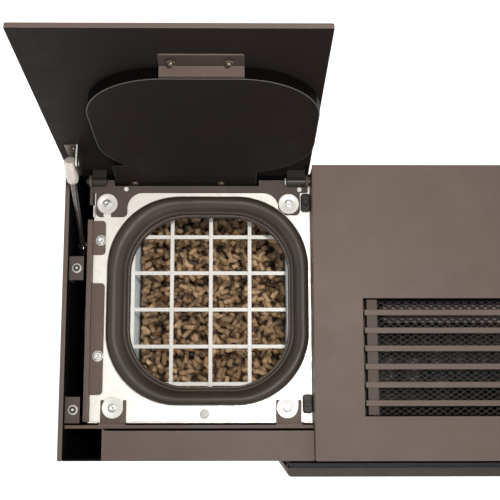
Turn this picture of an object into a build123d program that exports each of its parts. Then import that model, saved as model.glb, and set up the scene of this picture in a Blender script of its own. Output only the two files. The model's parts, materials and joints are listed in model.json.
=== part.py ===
"""Slim free-standing pellet stove, hopper lid open.

Built in the stove's own terms: x from the left side panel, y from the body's front face towards
the wall, z up from the floor, in millimetres.  When a piece is written out it is shifted so that
the origin lies on the floor under the middle of the whole stove.
"""
from build123d import *
import math
import os

os.makedirs("parts", exist_ok=True)

# ---------------------------------------------------------------- driving dimensions
WIDTH = 930.0            # over both side panels
DEPTH = 300.0            # body front face to rear panel
HEIGHT = 1120.0          # floor to the top of the top panel
FOOT_HEIGHT = 25.0       # floor to the underside of the base plate
GAP = 0.3                # seat clearance between neighbouring pieces
FIT = 0.05               # running clearance of a pin in its bore, on the radius

SIDE_T = 5.0             # side panels
SHEET = 1.5              # folded sheet
BASE_T = 3.0             # base plate
TOP_T = 3.0              # top panel
REAR_T = 2.0             # rear panel
FLANGE_T = 2.0           # folded edges of the top panel
FLANGE_H = 30.0          # their depth below the top plane

HOPPER_W = 255.0         # left side to the left edge of the top panel
CHANNEL_W = 38.5         # dark channel between side panel and front cladding
CHANNEL_D = 31.5         # its depth
CLADDING_DROP = 8.0      # top return of the left cladding, below the top plane
RETURN_D = 29.5          # depth of that top return
RAIL_DROP = 15.0         # top of the front rail, below the top plane
RAIL_W = 3.5             # width of the front rail's top strip

DECK_DROP = 28.0         # top of the galvanised deck, below the top plane
DECK_T = 1.5
DECK_FRONT = 36.8
DECK_REAR = DEPTH - 10.0          # rear edge beside the lid plate's rear flange
DECK_REAR_MIDDLE = DEPTH - 16.5   # rear edge where that flange swings down

GASKET_BOX = (42.5, HOPPER_W - 3.0, 54.3, DEPTH - 28.3)     # outer edge of the bulb gasket
GASKET_HOLE = (65.4, HOPPER_W - 22.7, 71.8, DEPTH - 49.0)   # inner edge
GASKET_R = 75.0
GASKET_HOLE_R = 62.0
GASKET_TOP = 16.6        # below the top plane
DECK_HOLE_INSET = 0.6    # the deck hole is this much smaller than the gasket's

BIN_BOX = (62.0, HOPPER_W - 19.0, 60.0, DEPTH - 18.0)       # inside of the hopper bin
BIN_T = 1.0
BIN_STRAIGHT = 320.0     # height of the straight bin below the top plane
SPOUT_W = 40.0           # outside of the square spout
SPOUT_TOP = 640.0        # height of the funnel's lower end
PELLET_DROP = 172.0      # pellet level below the top plane

GRID_DROP = 68.0         # top of the safety grid below the top plane
GRID_BAR_W = 4.2
GRID_BAR_H = 2.0
GRID_X0 = 64.8           # first bar that runs front to back
GRID_PITCH_X = 42.1
GRID_Y0 = 77.1           # first bar that runs left to right
GRID_PITCH_Y = 39.85

LID_W = HOPPER_W - 1.7   # the lid stops short of the top panel
LID_D = DEPTH - 1.5
LID_T = 5.0
LID_OPEN = 98.0          # degrees, the stop that the lid leans on
LID_CORNER_R = 2.0
HINGE_Y = DEPTH - 14.0
HINGE_DROP = 17.0        # hinge axis below the top plane
BARREL_R = 4.5
PIN_R = 2.5
BARREL_LEFT = (26.5, 40.7)
BARREL_RIGHT = (HOPPER_W - 25.0, HOPPER_W - 6.0)
EAR_T = 2.7
EAR_R = 6.5
EAR_FRONT = 24.0         # left ear in front of the hinge axis
INNER_BOX = (44.0, HOPPER_W - 3.0, 61.0, DEPTH - 35.0)      # pressed inner plate of the lid
INNER_R = 72.0
INNER_DROP = 16.0        # its lower face, below the lid's top
INNER_FLANGE = (51.0, HOPPER_W - 57.4, DEPTH + 2.0)         # rear flange: left, right, rear edge
TAB_X = (114.0, HOPPER_W - 70.5)  # Z tab at the lid's front
TAB_Y = (38.6, 58.0)

STRUT_X = 12.8           # plane of the gas strut
STRUT_LOW_Y = HINGE_Y - 136.0     # lower pivot
STRUT_LOW_DROP = 141.0
STRUT_BALL_Y = HINGE_Y - 56.0     # upper ball on the closed lid
STRUT_BALL_DROP = 20.0
STRUT_R = 6.0            # cylinder
STRUT_ROD_R = 3.0
STRUT_WALL = 1.5
STRUT_GUIDE = 9.0        # length of the rod guide
SOCKET_R = 6.25
SOCKET_LEN = 23.7        # ball centre to the socket's lower end
SOCKET_CAP = 4.5         # ball centre to the socket's upper end

MIDDLE_X = WIDTH / 2
FRAME_X = (HOPPER_W, WIDTH - HOPPER_W)      # plate behind the fire door
DOOR_LAP = 27.6          # door beyond that plate, each side
DOOR_X = (FRAME_X[0] - DOOR_LAP, FRAME_X[1] + DOOR_LAP)
DOOR_Z0 = 452.0
DOOR_TOP_DROP = 10.0
DOOR_FRONT = -15.5       # front of the door cladding
DOOR_SPLIT = -6.7        # cladding behind, cast frame from here
DOOR_BACK = -2.1         # back of the cast frame
DOOR_CORNER_R = 5.0
DOOR_FRAME_INSET = 3.1   # cast frame inside the cladding, each side
WINDOW = (FRAME_X[0] + 35.0, FRAME_X[1] - 35.0, 480.0, HEIGHT - 75.0)   # the cast frame's opening
GLASS_T = 4.0
GLASS_LAP = 12.0         # glass beyond the cladding's opening
DOOR_HINGE_X = DOOR_X[0] + 5.0
DOOR_HINGE_Y = -10.0
LUG_R = 4.0
LUG_T = 3.0
LUG_HEIGHTS = (490.0, HEIGHT - 40.0)
HANDLE_X = DOOR_X[1] - 18.6
HANDLE_Z = 780.0
HANDLE_FRONT = -31.0     # front of the lever, the stove's foremost face
HANDLE_BACK = -20.0
SPINDLE_R = 6.0

DRAWER_Z = (379.0, 449.0)                   # drawer front
GRIP_W = 120.0           # finger groove of the drawer
GRIP_R = 8.0
LOWER_PANEL_Z = (60.0, 376.0)

# outside of the fire chamber: x0, x1, rear y, z0, z1
CHAMBER = (FRAME_X[0] + 31.0, FRAME_X[1] - 31.0, DEPTH - 70.0, 446.0, HEIGHT - 66.0)
CHAMBER_T = 3.0
FRAME_T = 3.0            # front frame plate
POT = (MIDDLE_X - 53.0, MIDDLE_X + 53.0, DEPTH - 188.0, DEPTH - 100.0)      # burn pot, outside
POT_TOP = 545.0
PLENUM = (MIDDLE_X - 29.0, MIDDLE_X + 29.0, DEPTH - 174.0, DEPTH - 108.0, 388.0)  # x0, x1, y0, y1, z0
# ash drawer, inside its front: x0, x1, rear y, z0, z1
DRAWER_BOX = (FRAME_X[0] + 75.0, FRAME_X[1] - 75.0, PLENUM[2] - 4.0, 385.0, 441.0)

AUGER_X = HOPPER_W - 85.0         # point of the auger axis under the spout
AUGER_Y = DEPTH - 140.0
AUGER_Z = 570.0
AUGER_TILT = 45.0        # rise of the auger towards the fire chamber
AUGER_R = 27.0           # outside of the tube
AUGER_T = 2.0
AUGER_BACK = 62.0        # tube below that point
AUGER_FORE = 226.0       # tube above it

FAN_X = FRAME_X[1] + 55.0         # smoke fan axis
FAN_Z = 460.0
FAN_R = 80.0
FAN_Y = (DEPTH - 110.0, DEPTH - 60.0)
FLUE_R = 40.0            # exhaust spigot, outside
FLUE_Z = 375.0
FLUE_END = DEPTH + 55.0
INTAKE_X = MIDDLE_X
INTAKE_Z = 412.0
INTAKE_R = 25.0
INTAKE_END = DEPTH + 40.0
COLLAR_T = 2.5           # collars that the flue pipe and the air hose butt against
COLLAR_OUT = 2.0         # collars beyond the rear panel
DUCT_T = 1.5

BLOWER_X = (MIDDLE_X - 125.0, MIDDLE_X + 125.0)     # convection blower housing
BLOWER_Y = (DEPTH - 120.0, DEPTH - 20.0)
BLOWER_TOP = 150.0
BLOWER_AXIS = (DEPTH - 70.0, 92.0)
BLOWER_R = 36.0

GRILLE = (FRAME_X[0] + 50.0, FRAME_X[1] - 50.0, 43.5, 161.0)                # opening in the top panel
GRILLE_BARS = 6
GRILLE_BAR_W = 5.6
GRILLE_BAR_H = 3.0
GRILLE_FIRST = 56.3      # first bar's centre
GRILLE_PITCH = 18.08
GRILLE_RAIL_W = 10.6
MESH_DROP = 20.0         # top of the mesh below the top plane
MESH_T = 1.2
MESH_COLUMNS = 25
MESH_ROWS = 9

# ---------------------------------------------------------------- derived places
TOP = HEIGHT
BASE = FOOT_HEIGHT + BASE_T                 # top of the base plate
DECK = TOP - DECK_DROP
HINGE_Z = TOP - HINGE_DROP
RIGHT = WIDTH - SIDE_T                      # inside of the right side panel
REAR = DEPTH - REAR_T                       # inside of the rear panel
MIDDLE_Y = (HANDLE_FRONT + FLUE_END) / 2
PLATE_T = SHEET


# ---------------------------------------------------------------- small tools
def block(x0, x1, y0, y1, z0, z1):
    """Box between two corners."""
    return Pos((x0 + x1) / 2, (y0 + y1) / 2, (z0 + z1) / 2) * Box(x1 - x0, y1 - y0, z1 - z0)


def rounded(box, z0, z1, radius):
    """Upright prism on a rectangle with round corners, box is x0, x1, y0, y1."""
    x0, x1, y0, y1 = box
    outline = Pos((x0 + x1) / 2, (y0 + y1) / 2, z0) * RectangleRounded(x1 - x0, y1 - y0, radius)
    return extrude(outline, amount=z1 - z0)


def facing(x0, x1, z0, z1, y0, y1, radius):
    """Plate that stands in the x-z plane, with round corners."""
    outline = RectangleRounded(x1 - x0, z1 - z0, radius)
    return Pos((x0 + x1) / 2, y1, (z0 + z1) / 2) * Rot(90, 0, 0) * extrude(outline, amount=y1 - y0)


def upright(x, y, z0, z1, radius):
    """Cylinder along z."""
    return Pos(x, y, (z0 + z1) / 2) * Cylinder(radius, z1 - z0)


def along_x(y, z, x0, x1, radius):
    """Cylinder along x."""
    return Pos((x0 + x1) / 2, y, z) * Rot(0, 90, 0) * Cylinder(radius, x1 - x0)


def along_y(x, z, y0, y1, radius):
    """Cylinder along y."""
    return Pos(x, (y0 + y1) / 2, z) * Rot(90, 0, 0) * Cylinder(radius, y1 - y0)


def hexagon(x, y, z0, z1, across):
    """Hexagonal nut or head along z."""
    outline = Pos(x, y, z0) * RegularPolygon(across / 2, 6, major_radius=False)
    return extrude(outline, amount=z1 - z0)


def grown(box, amount):
    """A rectangle x0, x1, y0, y1 made larger on every side."""
    x0, x1, y0, y1 = box
    return (x0 - amount, x1 + amount, y0 - amount, y1 + amount)


def opened(shape):
    """Swing a piece of the closed lid back to its stop."""
    hinge = Pos(0, HINGE_Y, HINGE_Z)
    return hinge * Rot(-LID_OPEN, 0, 0) * hinge.inverse() * shape


def save(node, shape):
    """Write one node, shifted so that the origin is on the floor under the stove's middle."""
    placed = Pos(-WIDTH / 2, -MIDDLE_Y, 0) * shape
    export_step(placed, f"parts/{node}.step")


def group(pieces):
    """Several separate solids in one node."""
    return Compound(children=[piece for piece in pieces])


# ---------------------------------------------------------------- casing
FOOT_X = (60.0, WIDTH - 60.0)
FOOT_Y = (50.0, DEPTH - 50.0)
FOOT_PAD_R = 20.0
FOOT_PAD_H = 8.0
FOOT_STEM_R = 5.0


def feet_places():
    return [(x, y) for x in FOOT_X for y in FOOT_Y]


def base_plate():
    plate = block(SIDE_T, RIGHT, 0, REAR, FOOT_HEIGHT, BASE)
    for x, y in feet_places():
        plate -= upright(x, y, FOOT_HEIGHT - 1, BASE + 1, FOOT_STEM_R + GAP)
    return plate


def adjustable_feet():
    feet = []
    for x, y in feet_places():
        pad = upright(x, y, 0, FOOT_PAD_H, FOOT_PAD_R)
        pad = chamfer(pad.edges().group_by(Axis.Z)[-1], 2)
        stem = upright(x, y, FOOT_PAD_H, BASE + 12, FOOT_STEM_R)
        nut = hexagon(x, y, FOOT_HEIGHT - 7, FOOT_HEIGHT, 16)
        feet.append(pad + stem + nut)
    return group(feet)


# the lid's rear edge swings down into this notch
NOTCH_Y = HINGE_Y + 2.5
NOTCH_DROP = 40.0


def left_side_panel():
    panel = block(0, SIDE_T, 0, DEPTH, FOOT_HEIGHT, TOP - LID_T - 0.5)
    panel -= block(-1, SIDE_T + 1, NOTCH_Y, DEPTH + 1, TOP - NOTCH_DROP, TOP)
    return fillet(panel.edges().filter_by(Axis.Z).group_by(Axis.Y)[0], 1.5)


def right_side_panel():
    panel = block(RIGHT, WIDTH, 0, DEPTH, FOOT_HEIGHT, TOP - TOP_T)
    return fillet(panel.edges().filter_by(Axis.Z).group_by(Axis.Y)[0], 1.5)


VENT_ROWS = 12
VENT_Z0 = 60.0
VENT_PITCH = 10.0
VENT_H = 4.0
VENT_X = (MIDDLE_X - 105.0, MIDDLE_X + 105.0)
SOCKET_BOX = (WIDTH - 84.0, WIDTH - 56.0, 100.0, 148.0)     # inlet cut-out: x0, x1, z0, z1
SWITCH_BOX = (WIDTH - 81.0, WIDTH - 59.0, 156.0, 186.0)
RESET_X = WIDTH - 130.0
RESET_Z = 170.0
RESET_R = 5.0


def rear_panel():
    panel = block(SIDE_T, RIGHT, REAR, DEPTH, BASE, TOP - TOP_T)
    panel -= block(SIDE_T - 1, HOPPER_W + 2, REAR - 1, DEPTH + 1, TOP - NOTCH_DROP, TOP)
    panel -= along_y(FAN_X, FLUE_Z, REAR - 1, DEPTH + 1, FLUE_R + COLLAR_T + GAP)
    panel -= along_y(INTAKE_X, INTAKE_Z, REAR - 1, DEPTH + 1, INTAKE_R + COLLAR_T + GAP)
    for row in range(VENT_ROWS):
        z = VENT_Z0 + row * VENT_PITCH
        panel -= block(VENT_X[0], VENT_X[1], REAR - 1, DEPTH + 1, z, z + VENT_H)
    for x0, x1, z0, z1 in (SOCKET_BOX, SWITCH_BOX):
        panel -= block(x0 - GAP, x1 + GAP, REAR - 1, DEPTH + 1, z0 - GAP, z1 + GAP)
    panel -= along_y(RESET_X, RESET_Z, REAR - 1, DEPTH + 1, RESET_R + GAP)
    return panel


CLAD_LEFT = SIDE_T + CHANNEL_W
CLAD_RIGHT = WIDTH - CLAD_LEFT


def hinge_lugs():
    """Two lugs that carry the fire door's hinge pins."""
    lugs = []
    for z in LUG_HEIGHTS:
        arm = block(DOOR_HINGE_X - LUG_R, DOOR_HINGE_X + LUG_R, DOOR_HINGE_Y, 0, z, z + LUG_T)
        lug = arm + upright(DOOR_HINGE_X, DOOR_HINGE_Y, z, z + LUG_T, LUG_R)
        lugs.append(lug - upright(DOOR_HINGE_X, DOOR_HINGE_Y, z - 1, z + LUG_T + 1, PIN_R + FIT))
    return lugs


def front_cladding_left():
    top = TOP - CLADDING_DROP
    right = HOPPER_W - GAP
    panel = block(CLAD_LEFT, right, 0, SHEET, BASE, top)
    panel += block(CLAD_LEFT, CLAD_LEFT + SHEET, 0, CHANNEL_D - GAP, BASE, top)
    panel += block(CLAD_LEFT, right, 0, RETURN_D, top - SHEET, top)
    for lug in hinge_lugs():
        panel += lug
    return panel


KEEPER_X = (DOOR_X[1] + 0.6, DOOR_X[1] + 9.4)
KEEPER_T = 3.0
KEEPER_Z = (HANDLE_Z - 16.0, HANDLE_Z + 16.0)
KEEPER_LIP = (-9.2, -6.4)


def front_cladding_right():
    left = FRAME_X[1] + GAP
    top = TOP - FLANGE_H - GAP
    panel = block(left, CLAD_RIGHT, 0, SHEET, BASE, top)
    panel += block(CLAD_RIGHT - SHEET, CLAD_RIGHT, 0, CHANNEL_D - GAP, BASE, top)
    return group([panel, door_keeper()])


def door_keeper():
    """Hooked plate on the right cladding that the latch cam turns behind."""
    x0, x1 = KEEPER_X
    plate = block(x1 - KEEPER_T, x1, KEEPER_LIP[0], 0, *KEEPER_Z)
    return plate + block(x0, x1, *KEEPER_LIP, *KEEPER_Z)


def lower_front_panel():
    x0, x1 = DOOR_X
    z0, z1 = LOWER_PANEL_Z
    panel = block(x0, x1, DOOR_FRONT, 0, z0, z1)
    panel = fillet(panel.edges().filter_by(Axis.Z).group_by(Axis.Y)[0], DOOR_CORNER_R)
    wall = DOOR_CORNER_R + SHEET
    return panel - block(x0 + wall, x1 - wall, DOOR_FRONT + SHEET, 1, z0 + wall, z1 - wall)


def front_frame():
    """Black plate behind the door, and the black strips that close both channels."""
    plate = block(*FRAME_X, 0, FRAME_T, BASE, TOP - FLANGE_H - GAP)
    x0, x1, z0, z1 = WINDOW
    plate -= block(x0, x1, -1, FRAME_T + 1, z0, z1)
    d0, d1, _, dz0, dz1 = DRAWER_BOX
    plate -= block(d0 - GAP, d1 + GAP, -1, FRAME_T + 1, dz0 - GAP, dz1 + GAP)
    left = block(SIDE_T + GAP, CLAD_LEFT - GAP, 0, SHEET, BASE, TOP - CLADDING_DROP)
    right = block(CLAD_RIGHT + GAP, RIGHT - GAP, 0, SHEET, BASE, TOP - FLANGE_H - GAP)
    return group([plate, left, right])


def top_panel():
    x0 = HOPPER_W
    panel = block(x0, WIDTH, 0, DEPTH, TOP - TOP_T, TOP)
    panel += block(x0, x0 + FLANGE_T, 0, REAR, TOP - FLANGE_H, TOP)
    panel += block(x0, RIGHT, 0, FLANGE_T, TOP - FLANGE_H, TOP)
    a, b, c, d = GRILLE
    well = block(a - SHEET, b + SHEET, c - SHEET, d + SHEET, TOP - MESH_DROP - MESH_T - SHEET, TOP)
    lip = 4.0
    well -= block(a, b, c, d, TOP - MESH_DROP - MESH_T, TOP + 1)
    well -= block(a + lip, b - lip, c + lip, d - lip, 0, TOP + 1)
    panel -= block(a, b, c, d, TOP - TOP_T - 1, TOP + 1)
    panel = panel + well
    return fillet(panel.edges().filter_by(Axis.Z).group_by(Axis.X)[0].group_by(Axis.Y)[0], 1.0)


def grille_bars():
    """Six bars on two angle rails that stand on the mesh's frame."""
    x0, x1, y0, y1 = GRILLE
    end = 1.3
    low = TOP - MESH_DROP
    pieces = []
    for row in range(GRILLE_BARS):
        y = GRILLE_FIRST + row * GRILLE_PITCH
        half = GRILLE_BAR_W / 2
        pieces.append(block(x0 + end, x1 - end, y - half, y + half, TOP - GRILLE_BAR_H, TOP))
    inset = 3.8
    for left, leg in ((x0 + inset, x0 + inset), (x1 - inset - GRILLE_RAIL_W, x1 - inset - 2)):
        strip = block(left, left + GRILLE_RAIL_W, y0 + 1, y1 - 1, TOP - GRILLE_BAR_H - 2, TOP - GRILLE_BAR_H)
        pieces.append(strip + block(leg, leg + 2, y0 + 1, y1 - 1, low, TOP - GRILLE_BAR_H))
    return group(pieces)


def grille_mesh():
    """Expanded-metal sheet with staggered diamond openings."""
    x0, x1, y0, y1 = grown(GRILLE, -GAP)
    margin = 5.0
    pitch_x = (x1 - x0 - 2 * margin) / MESH_COLUMNS
    pitch_y = (y1 - y0 - 2 * margin) / MESH_ROWS
    sheet = Rectangle(x1 - x0, y1 - y0)
    for row in range(MESH_ROWS):
        stagger = 0.5 * (row % 2)
        for column in range(MESH_COLUMNS - row % 2):
            u = (column + 0.5 + stagger - MESH_COLUMNS / 2) * pitch_x
            v = (row + 0.5 - MESH_ROWS / 2) * pitch_y
            a = 0.42 * pitch_x
            b = 0.40 * pitch_y
            sheet -= Pos(u, v) * make_face(Polyline((a, 0), (0, b), (-a, 0), (0, -b), close=True))
    top = TOP - MESH_DROP
    return Pos((x0 + x1) / 2, (y0 + y1) / 2, top - MESH_T) * extrude(sheet, amount=MESH_T)


PARTITION_X = HOPPER_W + FLANGE_T + GAP


def auger_axis(start, end, radius):
    """Cylinder on the auger's axis, from start to end past the point under the spout."""
    body = Pos(0, 0, (start + end) / 2) * Cylinder(radius, end - start)
    return Pos(AUGER_X, AUGER_Y, AUGER_Z) * Rot(0, 90 - AUGER_TILT, 0) * body


DEFLECTOR_X = (GRILLE[0] + 24.0, GRILLE[1] - 19.0)
DEFLECTOR_Y = 139.0      # front edge under the grille
DEFLECTOR_DROP = 30.0


def air_deflector():
    """Sheet from the rear panel forward under the grille, which turns the hot air up."""
    x0, x1 = DEFLECTOR_X
    top = TOP - DEFLECTOR_DROP
    rear = REAR - GAP
    sheet = block(x0, x1, DEFLECTOR_Y, rear, top - SHEET, top)
    sheet += block(x0, x1, rear - SHEET, rear, top - 24, top)
    return sheet + block(x0, x1, DEFLECTOR_Y, DEFLECTOR_Y + SHEET, top - 7, top)


def inner_frame():
    """Partition beside the hopper, the wall behind the right channel and the air deflector."""
    wall = block(PARTITION_X, PARTITION_X + SHEET, CHANNEL_D, REAR, BASE, TOP - TOP_T)
    wall -= auger_axis(-100, 300, AUGER_R + GAP)
    back = block(FRAME_X[1] + GAP, RIGHT, CHANNEL_D, CHANNEL_D + SHEET, BASE, TOP - TOP_T)
    return group([wall, back, air_deflector()])


# ---------------------------------------------------------------- hopper
def hopper_deck():
    left = LEFT_RAIL[1] + GAP
    right = HOPPER_W - GAP
    low = DECK - DECK_T
    deck = block(left, right, DECK_FRONT, DECK_REAR, low, DECK)
    x0, x1, _ = INNER_FLANGE
    deck -= block(x0 - 3, x1 + 3, DECK_REAR_MIDDLE, DECK_REAR + 1, low - 1, DECK + 1)
    deck -= rounded(grown(GASKET_HOLE, -DECK_HOLE_INSET), low - 1, DECK + 1, GASKET_HOLE_R)
    lip = block(left, right, DECK_FRONT, DECK_FRONT + 1.2, low, DECK + 9)
    for a, b in FRONT_TABS:
        lip -= block(a - 1.5, b + 1.5, 0, DECK_FRONT + 2, DECK, DECK + 20)
    side = block(left, left + 1.2, RAIL_END + 3, HINGE_Y - EAR_FRONT - 1, low, DECK + 8)
    return deck + lip + side


SPOUT_BOX = (AUGER_X - SPOUT_W / 2, AUGER_X + SPOUT_W / 2, AUGER_Y - SPOUT_W / 2, AUGER_Y + SPOUT_W / 2)


def hopper_bin():
    top = DECK - DECK_T
    knee = TOP - BIN_STRAIGHT
    outer = funnel(BIN_T, top, knee)
    inner = funnel(0, top + 1, knee)
    return outer - inner - auger_axis(-100, 100, AUGER_R + GAP)


def funnel(wall, top, knee):
    """Solid of the bin's shape: straight box, funnel and spout, grown by the wall."""
    x0, x1, y0, y1 = grown(BIN_BOX, wall)
    s0, s1, t0, t1 = grown(SPOUT_BOX, wall - BIN_T)
    box = block(x0, x1, y0, y1, knee, top)
    upper = Pos((x0 + x1) / 2, (y0 + y1) / 2, knee) * Rectangle(x1 - x0, y1 - y0)
    lower = Pos((s0 + s1) / 2, (t0 + t1) / 2, SPOUT_TOP) * Rectangle(s1 - s0, t1 - t0)
    cone = loft([lower, upper])
    spout = block(s0, s1, t0, t1, AUGER_Z, SPOUT_TOP)
    return box + cone + spout


def pellet_fill():
    """The heap of wood pellets, down to the funnel's end."""
    slack = 0.6
    x0, x1, y0, y1 = grown(BIN_BOX, -slack)
    s0, s1, t0, t1 = grown(SPOUT_BOX, -BIN_T - slack)
    knee = TOP - BIN_STRAIGHT
    heap = block(x0, x1, y0, y1, knee, TOP - PELLET_DROP)
    upper = Pos((x0 + x1) / 2, (y0 + y1) / 2, knee) * Rectangle(x1 - x0, y1 - y0)
    lower = Pos((s0 + s1) / 2, (t0 + t1) / 2, SPOUT_TOP) * Rectangle(s1 - s0, t1 - t0)
    return heap + loft([lower, upper])


def pellet_grid():
    """Safety grid: bars left to right with bars front to back lying on them."""
    x0, x1, y0, y1 = grown(BIN_BOX, -GAP)
    top = TOP - GRID_DROP
    half = GRID_BAR_W / 2
    columns = int((x1 - half - GRID_X0) / GRID_PITCH_X) + 1
    rows = int((y1 - half - GRID_Y0) / GRID_PITCH_Y) + 1
    bars = []
    for column in range(columns):
        x = GRID_X0 + column * GRID_PITCH_X
        bars.append(block(x - half, x + half, y0, y1, top - GRID_BAR_H, top))
    for row in range(rows):
        y = GRID_Y0 + row * GRID_PITCH_Y
        bars.append(block(x0, x1, y - half, y + half, top - 2 * GRID_BAR_H, top - GRID_BAR_H))
    return group(bars)


def hopper_gasket():
    ring = rounded(GASKET_BOX, DECK, TOP - GASKET_TOP, GASKET_R)
    ring = fillet(ring.edges().group_by(Axis.Z)[-1], 6.5)
    hole = rounded(GASKET_HOLE, DECK - 1, TOP, GASKET_HOLE_R)
    lip = rounded(grown(GASKET_HOLE, 7), DECK + 4, TOP, GASKET_HOLE_R + 7)
    return ring - hole - lip


FRONT_TABS = ((38.6, 65.0), (HOPPER_W - 37.6, HOPPER_W - 11.4))
FRONT_TAB_END = 60.0
FRONT_TAB_SLOT = 50.0    # the tabs fork here, under their washers
TAB_PRONG = 3.4
RAIL_END = DEPTH - 54.0


def front_rail():
    """Wall behind the channel and the cladding, folded to a top strip with two tabs."""
    back = CHANNEL_D + RAIL_W
    right = HOPPER_W - GAP
    top = TOP - RAIL_DROP
    rail = block(SIDE_T, right, CHANNEL_D, CHANNEL_D + SHEET, BASE, top)
    rail += block(SIDE_T, right, CHANNEL_D, back, top - SHEET, top)
    for a, b in FRONT_TABS:
        rail += block(a, b, back, back + SHEET, DECK, top)
        tab = block(a, b, back, FRONT_TAB_END, DECK, DECK + SHEET)
        slot = block(a + TAB_PRONG, b - TAB_PRONG, FRONT_TAB_SLOT, FRONT_TAB_END + 1, DECK - 1, DECK + SHEET + 1)
        rail += fillet(tab.edges().filter_by(Axis.Z).group_by(Axis.Y)[-1], 1.5) - slot
    return rail


LEFT_RAIL = (22.0, 27.0, 38.0)   # x0, x1, front end
LEFT_TABS = ((RAIL_END - 36.4, RAIL_END, 40.0), (65.0, RAIL_END - 66.0, 40.2))
LEFT_RAIL_DROP = 20.0
LEFT_SKIRT = 90.0
SIDE_SCREWS = ((35.4, RAIL_END - 21.0), (34.8, 104.5))
SIDE_SHANK_R = 2.0


def left_rail():
    x0, x1, y0 = LEFT_RAIL
    top = TOP - LEFT_RAIL_DROP
    rail = block(x0, x0 + SHEET, y0, RAIL_END, TOP - LEFT_SKIRT, top)
    rail += block(x0, x1, y0, RAIL_END, top - SHEET, top)
    rail += block(x1 - SHEET, x1, y0, RAIL_END, DECK, top)
    for a, b, end in LEFT_TABS:
        tab = block(x1 - SHEET, end, a, b, DECK, DECK + SHEET)
        rail += fillet(tab.edges().filter_by(Axis.Z).group_by(Axis.X)[-1], 4)
    for x, y in SIDE_SCREWS:
        rail -= upright(x, y, DECK + 0.8, TOP, SIDE_SHANK_R + GAP)
    return rail


EAR_LEFT = BARREL_LEFT[0] - GAP
EAR_RIGHT = BARREL_RIGHT[1] + GAP
WASHER_R = 10.8
WASHER_T = 1.6
WASHER_REAR = DEPTH - 36.0
WASHERS = ((41.0, WASHER_REAR), (HOPPER_W - 23.0, WASHER_REAR), (51.0, 52.0), (HOPPER_W - 26.0, 52.0))
CROSS_FRONT = DEPTH - 50.0
CROSS_MIDDLE = DEPTH - 24.0
LOBE_RIGHT = (HOPPER_W - 34.0, HOPPER_W - 11.0)
LOBE_LEFT = (29.0, 62.0)


def hinge_ear(x0, x1, front):
    ear = block(x0, x1, front, HINGE_Y + EAR_R, DECK, HINGE_Z - 3)
    ear += along_x(HINGE_Y, HINGE_Z, x0, x1, EAR_R)
    return ear - along_x(HINGE_Y, HINGE_Z, x0 - 1, x1 + 1, PIN_R + FIT)


def hinge_crossmember():
    """Plate across the rear of the deck with an ear for each lid hinge."""
    x0, x1, _ = INNER_FLANGE
    right = EAR_RIGHT + EAR_T
    rear = DECK_REAR - 0.5
    top = DECK + PLATE_T
    plate = block(EAR_LEFT - EAR_T, right, CROSS_MIDDLE, rear, DECK, top)
    plate += block(*LOBE_LEFT, CROSS_FRONT, CROSS_MIDDLE, DECK, top)
    plate += block(*LOBE_RIGHT, CROSS_FRONT + 2, CROSS_MIDDLE, DECK, top)
    inner = plate.edges().filter_by(Axis.Z).filter_by_position(Axis.Y, CROSS_MIDDLE - 0.1, CROSS_MIDDLE + 0.1)
    corner = [edge for edge in inner if LOBE_LEFT[1] - 1 < edge.center().X < LOBE_RIGHT[0] + 1]
    plate = fillet(corner, 16)
    tips = plate.edges().filter_by(Axis.Z).filter_by_position(Axis.Y, 0, CROSS_FRONT + 3)
    plate = fillet(tips, 5)
    plate -= rounded(grown(GASKET_BOX, 1), DECK - 1, top + 1, GASKET_R + 1)
    plate -= block(x0 - 3, x1 + 3, DECK_REAR_MIDDLE, rear + 1, DECK - 1, top + 1)
    slot_x = WASHERS[0][0]
    plate -= block(slot_x - 4, slot_x + 4, CROSS_FRONT - 1, WASHERS[0][1] - 4, DECK - 1, top + 1)
    plate += hinge_ear(EAR_LEFT - EAR_T, EAR_LEFT, HINGE_Y - EAR_FRONT)
    return plate + hinge_ear(EAR_RIGHT, EAR_RIGHT + EAR_T, CROSS_MIDDLE)


CAVITY_DROP = 14.0
CAVITY_REAR = DEPTH - 118.5
CAVITY_BRACKETS = ((CAVITY_REAR, CAVITY_REAR + 24.8, CAVITY_REAR + 12.3), (36.9, 63.1, 50.1))
CAVITY_RIGHT = 19.8
CAVITY_SCREW_X = 13.0


def screw(x, y, seat, head_r, head_h, shank_r, length):
    """Button-head screw with a hexagon recess, standing on its seat."""
    head = upright(x, y, seat, seat + head_h, head_r)
    head = fillet(head.edges().group_by(Axis.Z)[-1], head_h * 0.6)
    head -= hexagon(x, y, seat + head_h * 0.4, seat + head_h + 1, head_r * 0.8)
    return head + upright(x, y, seat - length, seat, shank_r)


def deck_fasteners():
    """Penny washers with their screws, pan-head screws and the bracket screws."""
    pieces = []
    seat = DECK + PLATE_T
    for x, y in WASHERS:
        disc = upright(x, y, seat, seat + WASHER_T, WASHER_R)
        disc = chamfer(disc.edges().group_by(Axis.Z)[-1], 0.4)
        pieces.append(disc + screw(x, y, seat + WASHER_T, 4.2, 2.6, 2.0, WASHER_T))
    for x, y in SIDE_SCREWS:
        pieces.append(screw(x, y, seat, 5.6, 3.0, SIDE_SHANK_R, 0.5))
    for _, _, y in CAVITY_BRACKETS:
        pieces.append(screw(CAVITY_SCREW_X, y, TOP - CAVITY_DROP, 5.0, 2.6, 2.0, 0.5))
    return group(pieces)


def cavity_brackets():
    top = TOP - CAVITY_DROP
    pieces = []
    for y0, y1, screw_y in CAVITY_BRACKETS:
        plate = block(SIDE_T, CAVITY_RIGHT, y0, y1, top - SHEET, top)
        plate += block(SIDE_T, SIDE_T + 1.2, y0, y1, top - 30, top)
        plate -= upright(CAVITY_SCREW_X, screw_y, top - 0.6, top + 1, 2.0 + GAP)
        pieces.append(plate)
    return group(pieces)


CLIPS = (DEPTH - 35.2, 56.1)
CLIP_W = 10.0
CLIP_L = 19.0
CLIP_H = 7.0


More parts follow.
